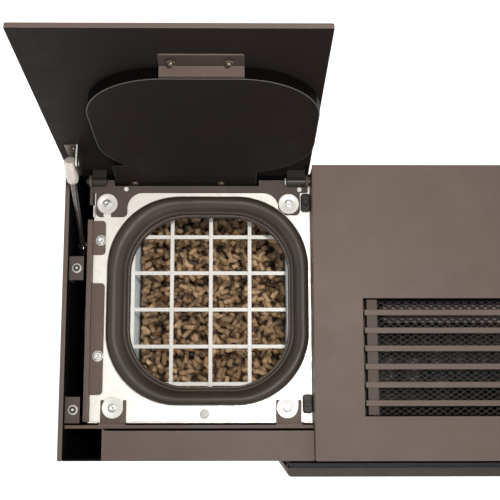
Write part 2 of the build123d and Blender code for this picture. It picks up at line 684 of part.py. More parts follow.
def panel_clips():
    """Rounded clips that grip the top panel's edge, each with a socket screw."""
    right = HOPPER_W - GAP
    pieces = []
    for y in CLIPS:
        clip = rounded((right - CLIP_W, right, y - CLIP_L / 2, y + CLIP_L / 2), DECK, DECK + CLIP_H, 3)
        clip = fillet(clip.edges().group_by(Axis.Z)[-1], 1.5)
        x = right - CLIP_W / 2
        clip -= upright(x, y, DECK + CLIP_H - 1.5, DECK + CLIP_H + 1, 3.4)
        head = upright(x, y, DECK + CLIP_H - 1.5, DECK + CLIP_H + 1.5, 3.0)
        head -= hexagon(x, y, DECK + CLIP_H - 0.5, DECK + CLIP_H + 2, 3.2)
        pieces.append(clip + head)
    return group(pieces)


BUMPER = (HOPPER_W - 110.4, 45.7)


def lid_bumper():
    disc = upright(*BUMPER, DECK, DECK + 2.4, 4.75)
    return fillet(disc.edges().group_by(Axis.Z)[-1], 1.2)


def hinge_pins():
    """Two pins of the lid hinge and two of the fire door."""
    head_r = 4.0
    left = EAR_LEFT - EAR_T
    pin_left = along_x(HINGE_Y, HINGE_Z, left, BARREL_LEFT[1] + 1, PIN_R)
    pin_left += along_x(HINGE_Y, HINGE_Z, left - 3, left, head_r)
    right = EAR_RIGHT + EAR_T
    pin_right = along_x(HINGE_Y, HINGE_Z, BARREL_RIGHT[0] - 1, right, PIN_R)
    pin_right += along_x(HINGE_Y, HINGE_Z, right, right + 2.5, head_r)
    pieces = [pin_left, pin_right]
    for z in LUG_HEIGHTS:
        pieces.append(upright(DOOR_HINGE_X, DOOR_HINGE_Y, z - PIN_REACH, z + LUG_T + PIN_REACH, PIN_R))
    return group(pieces)


PIN_REACH = 14.0         # door pin beyond its lug, each way


# ---------------------------------------------------------------- lid
def lid_plate():
    lid = block(0, LID_W, 0, LID_D, TOP - LID_T, TOP)
    lid = fillet(lid.edges().filter_by(Axis.Z), LID_CORNER_R)
    return opened(fillet(lid.edges().group_by(Axis.Z)[-1], 0.8))


def inner_lid_plate():
    """Pressed plate that closes on the gasket, with a flange towards the hinges."""
    low = TOP - INNER_DROP
    seat = TOP - LID_T
    pan = rounded(INNER_BOX, low, seat, INNER_R)
    pan = fillet(pan.edges().group_by(Axis.Z)[0], 1.2)
    pan -= rounded(grown(INNER_BOX, -SHEET), low + SHEET, seat + 1, INNER_R - SHEET)
    x0, x1, rear = INNER_FLANGE
    flange = block(x0, x1, INNER_BOX[3] - 20, rear, low, low + SHEET)
    return opened(pan + flange)


def hinge_barrels():
    pieces = []
    for x0, x1 in (BARREL_LEFT, BARREL_RIGHT):
        tube = along_x(HINGE_Y, HINGE_Z, x0, x1, BARREL_R)
        tube += block(x0, x1, HINGE_Y - 3, HINGE_Y + 3, HINGE_Z, TOP - LID_T)
        pieces.append(tube - along_x(HINGE_Y, HINGE_Z, x0 - 1, x1 + 1, PIN_R + FIT))
    return opened(group(pieces))


STUD_X = (TAB_X[0] + 10.6, TAB_X[1] - 12.6)
STUD_Y = 46.5
FLANGE_BOLT_X = (INNER_FLANGE[0] + 19.0, INNER_FLANGE[1] - 36.6)
FLANGE_BOLT_Y = INNER_FLANGE[2] - 9.0


def lid_tab_bracket():
    """Z-shaped bracket at the front of the lid."""
    x0, x1 = TAB_X
    y0, y1 = TAB_Y
    seat = TOP - LID_T
    low = TOP - INNER_DROP
    leg = block(x0, x1, y0, y1, seat - SHEET, seat)
    leg = fillet(leg.edges().filter_by(Axis.Z).group_by(Axis.Y)[0], 3)
    leg += block(x0, x1, y1 - SHEET, y1, low, seat)
    leg += block(x0, x1, y1 - SHEET, INNER_BOX[2] - GAP, low, low + SHEET)
    return opened(leg)


def lid_fasteners():
    """Nuts on the bracket's studs, and the flange bolts of the inner plate."""
    pieces = []
    seat = TOP - LID_T - SHEET
    for x in STUD_X:
        pieces.append(hexagon(x, STUD_Y, seat - 3.2, seat, 7) + upright(x, STUD_Y, seat - 5.5, seat, 2.0))
    low = TOP - INNER_DROP
    for x in FLANGE_BOLT_X:
        head = upright(x, FLANGE_BOLT_Y, low - 2, low, 4.0)
        pieces.append(fillet(head.edges().group_by(Axis.Z)[0], 1.2))
    return opened(group(pieces))


# ---------------------------------------------------------------- gas strut
LID_LEG_X = 20.0
LID_BRACKET_Y = (STRUT_BALL_Y - 14.0, STRUT_BALL_Y + 16.0)
LID_SCREW = (15.3, STRUT_BALL_Y - 2.3)


def ball_open():
    """Upper ball centre with the lid on its stop, as y and z."""
    dy = STRUT_BALL_Y - HINGE_Y
    dz = HINGE_DROP - STRUT_BALL_DROP
    turn = math.radians(-LID_OPEN)
    y = HINGE_Y + dy * math.cos(turn) - dz * math.sin(turn)
    z = HINGE_Z + dy * math.sin(turn) + dz * math.cos(turn)
    return y, z


LOW_Z = TOP - STRUT_LOW_DROP
OPEN_Y, OPEN_Z = ball_open()
OPEN_LENGTH = math.hypot(OPEN_Y - STRUT_LOW_Y, OPEN_Z - LOW_Z)
SHUT_LENGTH = math.hypot(STRUT_BALL_Y - STRUT_LOW_Y, TOP - STRUT_BALL_DROP - LOW_Z)
STROKE = OPEN_LENGTH - SHUT_LENGTH
OPEN_TILT = math.degrees(math.atan2(OPEN_Z - LOW_Z, OPEN_Y - STRUT_LOW_Y))
SHUT_TILT = math.degrees(math.atan2(TOP - STRUT_BALL_DROP - LOW_Z, STRUT_BALL_Y - STRUT_LOW_Y))
CYLINDER_END = OPEN_LENGTH - SOCKET_LEN - STROKE - 1.0
EYE_X = (STRUT_X - 4.0, STRUT_X + 4.0)
EYE_R = 7.0


def on_strut(shape):
    """Put a shape built upwards along z from the lower pivot onto the strut's line."""
    return Pos(STRUT_X, STRUT_LOW_Y, LOW_Z) * Rot(-(90 - OPEN_TILT), 0, 0) * shape


def length_of(start, end, radius):
    """Cylinder on the strut's line."""
    return Pos(0, 0, (start + end) / 2) * Cylinder(radius, end - start)


def strut_lid_bracket():
    """Galvanised angle on the lid with the stub of its ball stud."""
    seat = TOP - LID_T
    y0, y1 = LID_BRACKET_Y
    foot = block(8, LID_LEG_X + SHEET, y0, y1, seat - SHEET, seat)
    leg = block(LID_LEG_X, LID_LEG_X + SHEET, y0, y1, TOP - STRUT_BALL_DROP - 8, seat)
    edge = leg.edges().filter_by(Axis.X).group_by(Axis.Z)[0]
    leg = fillet(edge, 6)
    stub = along_x(STRUT_BALL_Y, TOP - STRUT_BALL_DROP, STRUT_X + SOCKET_R + GAP, LID_LEG_X, 3.0)
    nut = along_x(STRUT_BALL_Y, TOP - STRUT_BALL_DROP, LID_LEG_X + SHEET, LID_LEG_X + SHEET + 0.3, 4.0)
    head = upright(*LID_SCREW, seat - SHEET - 2.0, seat - SHEET, 3.6)
    return opened(foot + leg + stub + nut + head)


def strut_lower_bracket():
    """Plate on the side panel with the pin that carries the strut."""
    x0 = SIDE_T
    x1 = SIDE_T + 1.3
    plate = block(x0, x1, STRUT_LOW_Y - 16, STRUT_LOW_Y + 16, LOW_Z - 22, LOW_Z + 22)
    plate = fillet(plate.edges().filter_by(Axis.X), 5)
    pin = along_x(STRUT_LOW_Y, LOW_Z, x1, EYE_X[1] + GAP, PIN_R)
    shoulder = along_x(STRUT_LOW_Y, LOW_Z, x1, EYE_X[0] - GAP, 4.5)
    clip = along_x(STRUT_LOW_Y, LOW_Z, EYE_X[1] + GAP, EYE_X[1] + GAP + 1.2, 4.5)
    return plate + pin + shoulder + clip


def strut_cylinder():
    bore_start = CYLINDER_END - STRUT_GUIDE - STROKE - 6
    tube = length_of(EYE_R + 7, CYLINDER_END, STRUT_R)
    tube = chamfer(tube.edges().group_by(Axis.Z)[-1], 1.0)
    tube -= length_of(bore_start, CYLINDER_END - STRUT_GUIDE, STRUT_R - STRUT_WALL)
    tube -= length_of(bore_start, CYLINDER_END + 1, STRUT_ROD_R + FIT)
    ring = length_of(CYLINDER_END - 19, CYLINDER_END - 17, STRUT_R + 1)
    ring -= length_of(CYLINDER_END - 20, CYLINDER_END - 16, STRUT_R - 0.4)
    tube -= ring
    neck = length_of(EYE_R - 2, EYE_R + 7, 3.6)
    eye = Rot(0, 90, 0) * Cylinder(EYE_R, EYE_X[1] - EYE_X[0])
    body = tube + neck + eye
    return on_strut(body - Rot(0, 90, 0) * Cylinder(PIN_R + FIT, 30))


def strut_rod():
    start = CYLINDER_END - STRUT_GUIDE - 4
    rod = length_of(start, OPEN_LENGTH - SOCKET_LEN, STRUT_ROD_R)
    piston = length_of(start, start + 3, STRUT_R - STRUT_WALL - 0.1)
    return on_strut(rod + piston)


def strut_upper_socket():
    """Ball socket screwed on the rod."""
    low = OPEN_LENGTH - SOCKET_LEN
    cone = Pos(0, 0, low + 4) * Cone(4.6, SOCKET_R, 8)
    barrel = length_of(low + 8, OPEN_LENGTH + SOCKET_CAP, SOCKET_R)
    return on_strut(cone + chamfer(barrel.edges().group_by(Axis.Z)[-1], 1.2))


# ---------------------------------------------------------------- fire door
CLADDING_OPENING = grown(WINDOW, 4.0)


POCKET_ROOM = 0.6


def door_pockets():
    """Room in the door for the hinge lugs, open to the back and to the left edge."""
    pockets = []
    for z in LUG_HEIGHTS:
        pockets.append(block(DOOR_X[0] - 1, DOOR_HINGE_X + 7, DOOR_HINGE_Y - LUG_R - POCKET_ROOM, 0, z - 3, z + LUG_T + 3))
    return pockets


def door_bores():
    reach = PIN_REACH + 1
    bores = []
    for z in LUG_HEIGHTS:
        bores.append(upright(DOOR_HINGE_X, DOOR_HINGE_Y, z - reach, z + LUG_T + reach, PIN_R + FIT))
    return bores


def door_cladding():
    x0, x1 = DOOR_X
    z1 = TOP - DOOR_TOP_DROP
    plate = block(x0, x1, DOOR_FRONT, DOOR_SPLIT, DOOR_Z0, z1)
    plate = fillet(plate.edges().filter_by(Axis.Z).group_by(Axis.Y)[0], DOOR_CORNER_R)
    a, b, c, d = CLADDING_OPENING
    plate -= facing(a, b, c, d, DOOR_FRONT - 1, 0, 3)
    rebate = DOOR_SPLIT - GLASS_T - GAP
    a, b, c, d = grown(CLADDING_OPENING, GLASS_LAP + GAP)
    plate -= facing(a, b, c, d, rebate, 0, 3)
    for cut in door_pockets() + door_bores():
        plate -= cut
    return plate - along_y(HANDLE_X, HANDLE_Z, DOOR_FRONT - 1, 0, SPINDLE_R + FIT)


GASKET_LINE = grown(WINDOW, 7.0)
ROPE_W = 8.0


def door_frame():
    """Cast frame with the groove of the rope gasket."""
    x0 = DOOR_X[0] + DOOR_FRAME_INSET
    x1 = DOOR_X[1] - DOOR_FRAME_INSET
    z0 = DOOR_Z0 + DOOR_FRAME_INSET
    z1 = TOP - DOOR_TOP_DROP - 1.0
    plate = facing(x0, x1, z0, z1, DOOR_SPLIT, DOOR_BACK, 2)
    a, b, c, d = WINDOW
    plate -= facing(a, b, c, d, DOOR_SPLIT - 1, 0, 6)
    plate -= rope(GAP, -5.1, 0)
    for pocket in door_pockets():
        plate -= pocket
    plate -= block(HANDLE_X - 13, x1 + 1, DOOR_SPLIT - 1, 0, HANDLE_Z - 13, HANDLE_Z + 28)
    return plate


def rope(extra, y0, y1):
    """Ring of the rope gasket's section, made larger by extra."""
    a, b, c, d = grown(GASKET_LINE, ROPE_W + extra)
    ring = facing(a, b, c, d, y0, y1, 12)
    a, b, c, d = grown(GASKET_LINE, -extra)
    return ring - facing(a, b, c, d, y0 - 1, y1 + 1, 4)


def door_gasket():
    return rope(0, -5.1, -GAP)


def door_glass():
    a, b, c, d = grown(CLADDING_OPENING, GLASS_LAP)
    return facing(a, b, c, d, DOOR_SPLIT - GLASS_T, DOOR_SPLIT, 3)


def door_handle():
    """Lever, spindle and latch cam in one piece."""
    lever = block(HANDLE_X - 6, HANDLE_X + 6, HANDLE_FRONT, HANDLE_BACK, HANDLE_Z - 140, HANDLE_Z + 8)
    lever = fillet(lever.edges().filter_by(Axis.Z), 3)
    lever = fillet(lever.edges().group_by(Axis.Z)[0], 2)
    boss = along_y(HANDLE_X, HANDLE_Z, HANDLE_BACK, DOOR_FRONT - GAP, 9)
    spindle = along_y(HANDLE_X, HANDLE_Z, HANDLE_BACK, -2.6, SPINDLE_R)
    cam = block(HANDLE_X - 6, HANDLE_X + 6, -5.8, -2.6, HANDLE_Z, HANDLE_Z + 23)
    return lever + boss + spindle + cam


# ---------------------------------------------------------------- fire chamber
FINS = 14
FIN_H = 26.0
FIN_T = 2.5
ASH_SLOT = (DRAWER_BOX[0] + 10.0, DRAWER_BOX[1] - 10.0, 20.0, POT[2] - 14.0)
FLUE_OUT = (452.0, 492.0)                   # flue opening in the right wall, heights
FLUE_OUT_Y = (FAN_Y[0] - 40.0, FAN_Y[0] - 2.0)


def fire_chamber():
    x0, x1, y1, z0, z1 = CHAMBER
    t = CHAMBER_T
    box = block(x0, x1, FRAME_T, y1, z0, z1)
    box -= block(x0 + t, x1 - t, FRAME_T - 1, y1 - t, z0 + t, z1 - t)
    box -= block(ASH_SLOT[0], ASH_SLOT[1], ASH_SLOT[2], ASH_SLOT[3], z0 - 1, z0 + t + 1)
    p0, p1, q0, q1, _ = PLENUM
    box -= block(p0 + 6, p1 - 6, q0 + 6, q1 - 6, z0 - 1, z0 + t + 1)
    box -= auger_axis(-100, 300, AUGER_R + GAP)
    box -= along_y(INTAKE_X, IGNITER_Z, y1 - t - 1, y1 + 1, IGNITER_R + GAP)
    box -= block(x1 - t - 1, x1 + 1, *FLUE_OUT_Y, FLUE_OUT[0], FLUE_OUT[1])
    for side in (x0 + t, x1 - t - 8):
        box += block(side, side + 8, 40, 70, BAFFLE_Z - 6, BAFFLE_Z)
    pitch = (x1 - x0 - 20 - FIN_T) / (FINS - 1)
    for fin in range(FINS):
        x = x0 + 10 + fin * pitch
        box += block(x, x + FIN_T, 25, y1 - 15, z1, z1 + FIN_H)
    d0, d1, rear, dz0, _ = DRAWER_BOX
    shelf = dz0 - GAP
    box += block(d0 - GAP - t, d1 + GAP + t, FRAME_T, rear + 3, shelf - t, shelf)
    for side in (d0 - GAP - t, d1 + GAP):
        box += block(side, side + t, FRAME_T, rear + 3, shelf, z0)
    return box


BAFFLE_Z = CHAMBER[4] - 54.0
BAFFLE_T = 12.0
LINING_T = 14.0
LINING_RIBS = 9
IGNITER_Z = 500.0
IGNITER_R = 5.0


def firebox_lining():
    """Back slab with upright grooves, and the baffle slab that lies on it."""
    x0 = CHAMBER[0] + CHAMBER_T + GAP
    x1 = CHAMBER[1] - CHAMBER_T - GAP
    back = CHAMBER[2] - CHAMBER_T - GAP
    low = CHAMBER[3] + CHAMBER_T
    slab = block(x0, x1, back - LINING_T, back, low, BAFFLE_Z)
    pitch = (x1 - x0) / LINING_RIBS
    for rib in range(1, LINING_RIBS):
        x = x0 + rib * pitch
        slab -= block(x - 5, x + 5, back - LINING_T - 1, back - LINING_T + 4, low + 60, BAFFLE_Z - 20)
    slab -= along_y(INTAKE_X, IGNITER_Z, back - LINING_T - 1, back + 1, IGNITER_R + GAP)
    baffle = block(x0, x1, 45, back, BAFFLE_Z, BAFFLE_Z + BAFFLE_T)
    return group([slab, baffle])


def burn_pot():
    x0, x1, y0, y1 = POT
    floor = CHAMBER[3] + CHAMBER_T
    wall = 5.0
    grate = POT_TOP - 55
    pot = rounded(POT, floor, POT_TOP, 10)
    pot -= rounded(grown(POT, -wall), grate + 6, POT_TOP + 1, 6)
    pot -= rounded(grown(POT, -wall), floor - 1, grate, 6)
    for column in range(5):
        for row in range(4):
            x = (x0 + x1) / 2 + (column - 2) * 17
            y = (y0 + y1) / 2 + (row - 1.5) * 17
            pot -= upright(x, y, grate - 1, grate + 7, 3)
    return pot - along_y(INTAKE_X, IGNITER_Z, y1 - wall - 1, y1 + 1, IGNITER_R + GAP)


def ash_drawer():
    x0, x1, rear, z0, z1 = DRAWER_BOX
    t = 1.5
    box = block(x0, x1, DOOR_BACK, rear, z0, z1)
    box -= block(x0 + t, x1 - t, FRAME_T, rear - t, z0 + t, z1 + 1)
    front = block(*DOOR_X, DOOR_FRONT, DOOR_BACK, *DRAWER_Z)
    front = fillet(front.edges().filter_by(Axis.Z).group_by(Axis.Y)[0], DOOR_CORNER_R)
    grip = along_x(DOOR_FRONT - 2, DRAWER_Z[0] + 4, MIDDLE_X - GRIP_W / 2, MIDDLE_X + GRIP_W / 2, GRIP_R)
    return box + front - grip


CHUTE_Z = 606.0
CHUTE_SLOPE = 26.0
CHUTE_L = 128.0
CHUTE_W = 60.0
CHUTE_H = 16.0


def pellet_chute():
    """Sloping trough that leads the pellets from the auger to the burn pot."""
    x0 = CHAMBER[0] + CHAMBER_T + GAP
    wide = CHUTE_W / 2
    trough = block(0, CHUTE_L, -wide, wide, 0, CHUTE_H)
    trough -= block(-1, CHUTE_L + 1, -wide + 2, wide - 2, 2, CHUTE_H + 1)
    trough = Pos(x0, AUGER_Y, CHUTE_Z) * Rot(0, CHUTE_SLOPE, 0) * trough
    trough -= block(x0 - 50, x0, 0, DEPTH, CHUTE_Z - 99, CHUTE_Z + 99)
    flange = block(x0, x0 + 2, AUGER_Y - wide - 6, AUGER_Y + wide + 6, CHUTE_Z - 22, CHUTE_Z + 8)
    return trough + flange


def igniter():
    y0 = POT[3] - 2
    y1 = CHAMBER[2]
    rod = along_y(INTAKE_X, IGNITER_Z, y0, y1 + 30, IGNITER_R)
    return rod + block(INTAKE_X - 16, INTAKE_X + 16, y1, y1 + 2, IGNITER_Z - 12, IGNITER_Z + 12)


# ---------------------------------------------------------------- pellet feed
SHAFT_R = 7.0
FLIGHT_R = 22.0
FLIGHT_PITCH = 34.0
FLIGHT_T = 2.5
FLIGHT_TURNS = 7
FLIGHT_TURN = 25.0       # degrees, where the flight starts around the shaft


def auger_tube():
    tube = auger_axis(-AUGER_BACK, AUGER_FORE, AUGER_R)
    tube -= auger_axis(-AUGER_BACK + 3, AUGER_FORE + 1, AUGER_R - AUGER_T)
    tube -= auger_axis(-AUGER_BACK - 1, 0, SHAFT_R + FIT)
    x0, x1, y0, y1 = grown(SPOUT_BOX, -BIN_T)
    return tube - block(x0, x1, y0, y1, AUGER_Z, AUGER_Z + 60)


def auger_screw():
    """Shaft with one helical flight."""
    start = -AUGER_BACK + 16
    shaft = Pos(0, 0, (AUGER_FORE - 4 - AUGER_BACK - 14) / 2) * Cylinder(SHAFT_R, AUGER_FORE - 4 + AUGER_BACK + 14)
    middle = (SHAFT_R + FLIGHT_R) / 2 - 0.5
    path = Helix(pitch=FLIGHT_PITCH, height=FLIGHT_PITCH * FLIGHT_TURNS, radius=middle)
    section = Plane(origin=(middle, 0, 0), x_dir=(1, 0, 0), z_dir=(0, 1, 0)) * Rectangle(FLIGHT_R - SHAFT_R + 1, FLIGHT_T)
    flight = Pos(0, 0, start) * Rot(0, 0, FLIGHT_TURN) * sweep(section, path=path, is_frenet=True)
    body = shaft + flight
    return Pos(AUGER_X, AUGER_Y, AUGER_Z) * Rot(0, 90 - AUGER_TILT, 0) * body


def auger_gearmotor():
    """Gearbox that takes the shaft's end, with its motor."""
    far = -AUGER_BACK
    gearbox = Pos(0, 0, far - 19) * Box(66, 60, 38)
    gearbox -= Pos(0, 0, far - 8) * Cylinder(SHAFT_R + FIT, 18)
    gearbox = fillet(gearbox.edges().filter_by(Axis.Z).group_by(Axis.Y)[0], 5)
    motor = Pos(0, 0, far - 38 - 22) * Cylinder(24, 44)
    body = gearbox + motor
    return Pos(AUGER_X, AUGER_Y, AUGER_Z) * Rot(0, 90 - AUGER_TILT, 0) * body


# ---------------------------------------------------------------- air
MOTOR_R = 34.0
FAN_SHAFT_R = 4.0
WHEEL_R = 62.0
WHEEL_BLADES = 12


def smoke_fan_housing():
    """Volute with its inlet box and the exhaust spigot, and its motor."""
    t = DUCT_T
    y0, y1 = FAN_Y
    outer = along_y(FAN_X, FAN_Z, y0, y1, FAN_R)
    outer += block(FAN_X - FLUE_R, FAN_X + FLUE_R, y0, y1, FLUE_Z - FLUE_R, FAN_Z)
    inner = along_y(FAN_X, FAN_Z, y0 + t, y1 - t, FAN_R - t)
    inner += block(FAN_X - FLUE_R + t, FAN_X + FLUE_R - t, y0 + t, y1 - t, FLUE_Z - FLUE_R + t, FAN_Z)
    x0 = CHAMBER[1] + GAP
    low, high = FLUE_OUT[0] - 6, FLUE_OUT[1] + 6
    inlet = block(x0, FAN_X + 34, FLUE_OUT_Y[0] - 6, y0, low, high)
    inlet -= block(x0 - 1, FAN_X + 34 - t, FLUE_OUT_Y[0] - 6 + t, y0 + 0.01, low + t, high - t)
    spigot = along_y(FAN_X, FLUE_Z, y1, FLUE_END, FLUE_R)
    spigot += along_y(FAN_X, FLUE_Z, y1, DEPTH + COLLAR_OUT, FLUE_R + COLLAR_T)
    body = outer + spigot - inner
    body -= along_y(FAN_X, FLUE_Z, y1 - t - 1, FLUE_END + 1, FLUE_R - t)
    body -= along_y(FAN_X, FAN_Z, y0 - 1, y0 + t + 1, 19)
    body -= along_y(FAN_X, FAN_Z, y1 - t - 1, y1 + 1, FAN_SHAFT_R + FIT)
    return group([body + inlet, smoke_fan_motor()])


def smoke_fan_motor():
    y0 = FAN_Y[1]
    motor = along_y(FAN_X, FAN_Z, y0, y0 + 44, MOTOR_R)
    motor = fillet(motor.edges().group_by(Axis.Y)[-1], 4)
    return motor - along_y(FAN_X, FAN_Z, y0 - 1, y0 + 22, FAN_SHAFT_R + FIT)


def smoke_fan_impeller():
    y0 = FAN_Y[0] + DUCT_T + 8
    y1 = FAN_Y[1] - DUCT_T - 5
    wheel = along_y(FAN_X, FAN_Z, y1 - 2, y1, WHEEL_R)
    wheel += along_y(FAN_X, FAN_Z, y1 - 14, y1, 9)
    wheel += along_y(FAN_X, FAN_Z, y1 - 2, FAN_Y[1] + 20, FAN_SHAFT_R)
    for blade in range(WHEEL_BLADES):
        vane = block(24, WHEEL_R - 1, y0, y1 - 1, -1, 1)
        wheel += Pos(FAN_X, 0, FAN_Z) * Rot(0, blade * 360 / WHEEL_BLADES, 0) * vane
    return wheel


def air_intake_pipe():
    """Pipe from the rear panel to the plenum under the burn pot."""
    t = DUCT_T
    x0, x1, y0, y1, z0 = PLENUM
    top = CHAMBER[3]
    pipe = along_y(INTAKE_X, INTAKE_Z, y1 - 1, INTAKE_END, INTAKE_R)
    pipe += along_y(INTAKE_X, INTAKE_Z, y1 - 1, DEPTH + COLLAR_OUT, INTAKE_R + COLLAR_T)
    box = block(x0, x1, y0, y1, z0 - 4, top)
    body = pipe + box
    body -= along_y(INTAKE_X, INTAKE_Z, y1 - t - 1, INTAKE_END + 1, INTAKE_R - t)
    return body - block(x0 + t, x1 - t, y0 + t, y1 - t, z0 - 4 + t, top + 1)


def convection_blower():
    """Housing of the room-air blower, standing on the base plate, with its motor."""
    x0, x1 = BLOWER_X
    y0, y1 = BLOWER_Y
    t = SHEET
    y, z = BLOWER_AXIS
    box = block(x0, x1, y0, y1, BASE, BLOWER_TOP)
    box -= block(x0 + t, x1 - t, y0 + t, y1 - t, BASE + t, BLOWER_TOP - t)
    box -= block(x0 + 12, x1 - 12, y0 + 14, y1 - 30, BLOWER_TOP - t - 1, BLOWER_TOP + 1)
    box -= block(x0 + 12, x1 - 12, y1 - t - 1, y1 + 1, BASE + 22, BLOWER_TOP - 22)
    box -= along_x(y, z, x0 - 1, x1 + 1, FAN_SHAFT_R + FIT)
    motor = along_x(y, z, x1, x1 + 52, 32) - along_x(y, z, x1 - 1, x1 + 20, FAN_SHAFT_R + FIT)
    return group([box, motor])


def convection_impeller():
    """Cross-flow wheel: end discs, blades and shaft."""
    x0 = BLOWER_X[0] + 8
    x1 = BLOWER_X[1] - 8
    y, z = BLOWER_AXIS
    wheel = along_x(y, z, x0, x0 + 3, BLOWER_R) + along_x(y, z, x1 - 3, x1, BLOWER_R)
    wheel += along_x(y, z, (x0 + x1) / 2 - 1.5, (x0 + x1) / 2 + 1.5, BLOWER_R)
    wheel += along_x(y, z, BLOWER_X[0] - 4, BLOWER_X[1] + 18, FAN_SHAFT_R)
    for blade in range(16):
        vane = Pos((x0 + x1) / 2, 0, BLOWER_R - 6) * Rot(25, 0, 0) * Box(x1 - x0 - 2, 1.4, 9)
        wheel += Pos(0, y, z) * Rot(blade * 360 / 16, 0, 0) * vane
    return wheel


# ---------------------------------------------------------------- electric pieces
BOARD = (70.0, DEPTH - 70.0, 150.0, 350.0)  # y0, y1, z0, z1
BOARD_T = 1.6
BOARD_STAND_OFF = 12.4
DISPLAY_BOX = (WIDTH - 190.0, WIDTH - 80.0, 70.0, 104.0)


def control_board():
    face = RIGHT - BOARD_STAND_OFF - BOARD_T
    y0, y1, z0, z1 = BOARD
    board = block(face, face + BOARD_T, y0, y1, z0, z1)
    for y in (y0 + 10, y1 - 10):
        for z in (z0 + 10, z1 - 10):
            board += along_x(y, z, face + BOARD_T, RIGHT, 3)
    board += block(face - 26, face, y0 + 20, y0 + 60, z0 + 20, z0 + 70)
    board += block(face - 12, face, y1 - 80, y1 - 20, z0 + 15, z0 + 35)
    board += block(face - 16, face, y0 + 30, y1 - 30, z1 - 60, z1 - 20)
    board += along_x(y1 - 50, z0 + 90, face - 26, face, 12)
    return board


def display_panel():
    panel = rounded(DISPLAY_BOX, TOP, TOP + 2.2, 4)
    return fillet(panel.edges().group_by(Axis.Z)[-1], 0.8)


SWITCH_TILT = 9.0
SWITCH_Y = DEPTH - 1.0


def power_inlet():
    """Appliance inlet, switch frame and the reset button's case behind the panel."""
    x0, x1, z0, z1 = SOCKET_BOX
    inlet = block(x0, x1, REAR - 22, DEPTH + 2, z0, z1)
    s0, s1, t0, t1 = SWITCH_BOX
    frame = block(s0, s1, REAR - 16, DEPTH + 2, t0, t1)
    body = inlet + frame + block(x0 - 5, x1 + 5, DEPTH, DEPTH + 2, z0 - 5, t1 + 5)
    body -= block(x0 + 4, x1 - 4, DEPTH - 14, DEPTH + 3, z0 + 14, z1 - 14)
    body -= block(s0 + 2, s1 - 2, REAR - 12, DEPTH + 3, t0 + 2, t1 - 2)
    for x, z in ((0, 0), (-5, 0), (5, 0)):
        cx = (x0 + x1) / 2 + x
        cz = (z0 + z1) / 2 + z
        body += block(cx - 0.8, cx + 0.8, DEPTH - 15, DEPTH - 3, cz - 2.5, cz + 2.5)
    case = block(RESET_X - 12, RESET_X + 12, REAR - 24, REAR, RESET_Z - 12, RESET_Z + 12)
    case -= along_y(RESET_X, RESET_Z, REAR - 20, REAR + 1, RESET_R + GAP)
    return group([body, case])


def power_switch():
    s0, s1, t0, t1 = SWITCH_BOX
    middle = (t0 + t1) / 2
    rocker = Box(s1 - s0 - 4 - 2 * GAP, 5, t1 - t0 - 4 - 3)
    pivot = Rot(0, 90, 0) * Cylinder(3, s1 - s0 - 4 - 2 * GAP)
    return Pos((s0 + s1) / 2, SWITCH_Y, middle) * Rot(SWITCH_TILT, 0, 0) * (rocker + pivot)


RESET_TRAVEL = 2.0


def reset_button():
    button = along_y(RESET_X, RESET_Z, REAR - 16, DEPTH + 4, RESET_R)
    return fillet(button.edges().group_by(Axis.Y)[-1], 1.0)


# ---------------------------------------------------------------- write every node
NODES = [
    base_plate, adjustable_feet, left_side_panel, right_side_panel, rear_panel,
    front_cladding_left, front_cladding_right, lower_front_panel, front_frame, top_panel,
    grille_bars, grille_mesh, inner_frame,
    hopper_deck, hopper_bin, pellet_fill, pellet_grid, hopper_gasket, front_rail, left_rail,
    hinge_crossmember, deck_fasteners, cavity_brackets, panel_clips, lid_bumper, hinge_pins,
    lid_plate, inner_lid_plate, hinge_barrels, lid_tab_bracket, lid_fasteners,
    strut_lid_bracket, strut_lower_bracket, strut_cylinder, strut_rod, strut_upper_socket,
    door_cladding, door_frame, door_gasket, door_glass, door_handle,
    fire_chamber, firebox_lining, burn_pot, ash_drawer, pellet_chute, igniter,
    auger_tube, auger_screw, auger_gearmotor,
    smoke_fan_housing, smoke_fan_impeller, air_intake_pipe,
    convection_blower, convection_impeller,
    control_board, display_panel, power_inlet, power_switch, reset_button,
]

for make in NODES:
    save(make.__name__, make())

print("lid hinge", -WIDTH / 2, HINGE_Y - MIDDLE_Y, HINGE_Z)
print("strut low pivot", STRUT_X - WIDTH / 2, STRUT_LOW_Y - MIDDLE_Y, LOW_Z)
print("strut open, shut, stroke", OPEN_LENGTH, SHUT_LENGTH, STROKE, OPEN_TILT, SHUT_TILT)
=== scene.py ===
# %% [markdown]
# # A slim pellet stove with its hopper lid open
#
# The stove is a cabinet of folded sheet steel. At its left a gas strut holds the lid open over a
# galvanised hopper full of wood pellets; at its right the top panel has a hot-air grille. The
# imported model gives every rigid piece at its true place, so this script adds what the eye looks
# for: rounded edges, coatings, real pellets, a soft gasket and the studio.

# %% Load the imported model
import json
import math
import random

import bmesh
import bpy
from mathutils import Matrix, Vector, noise


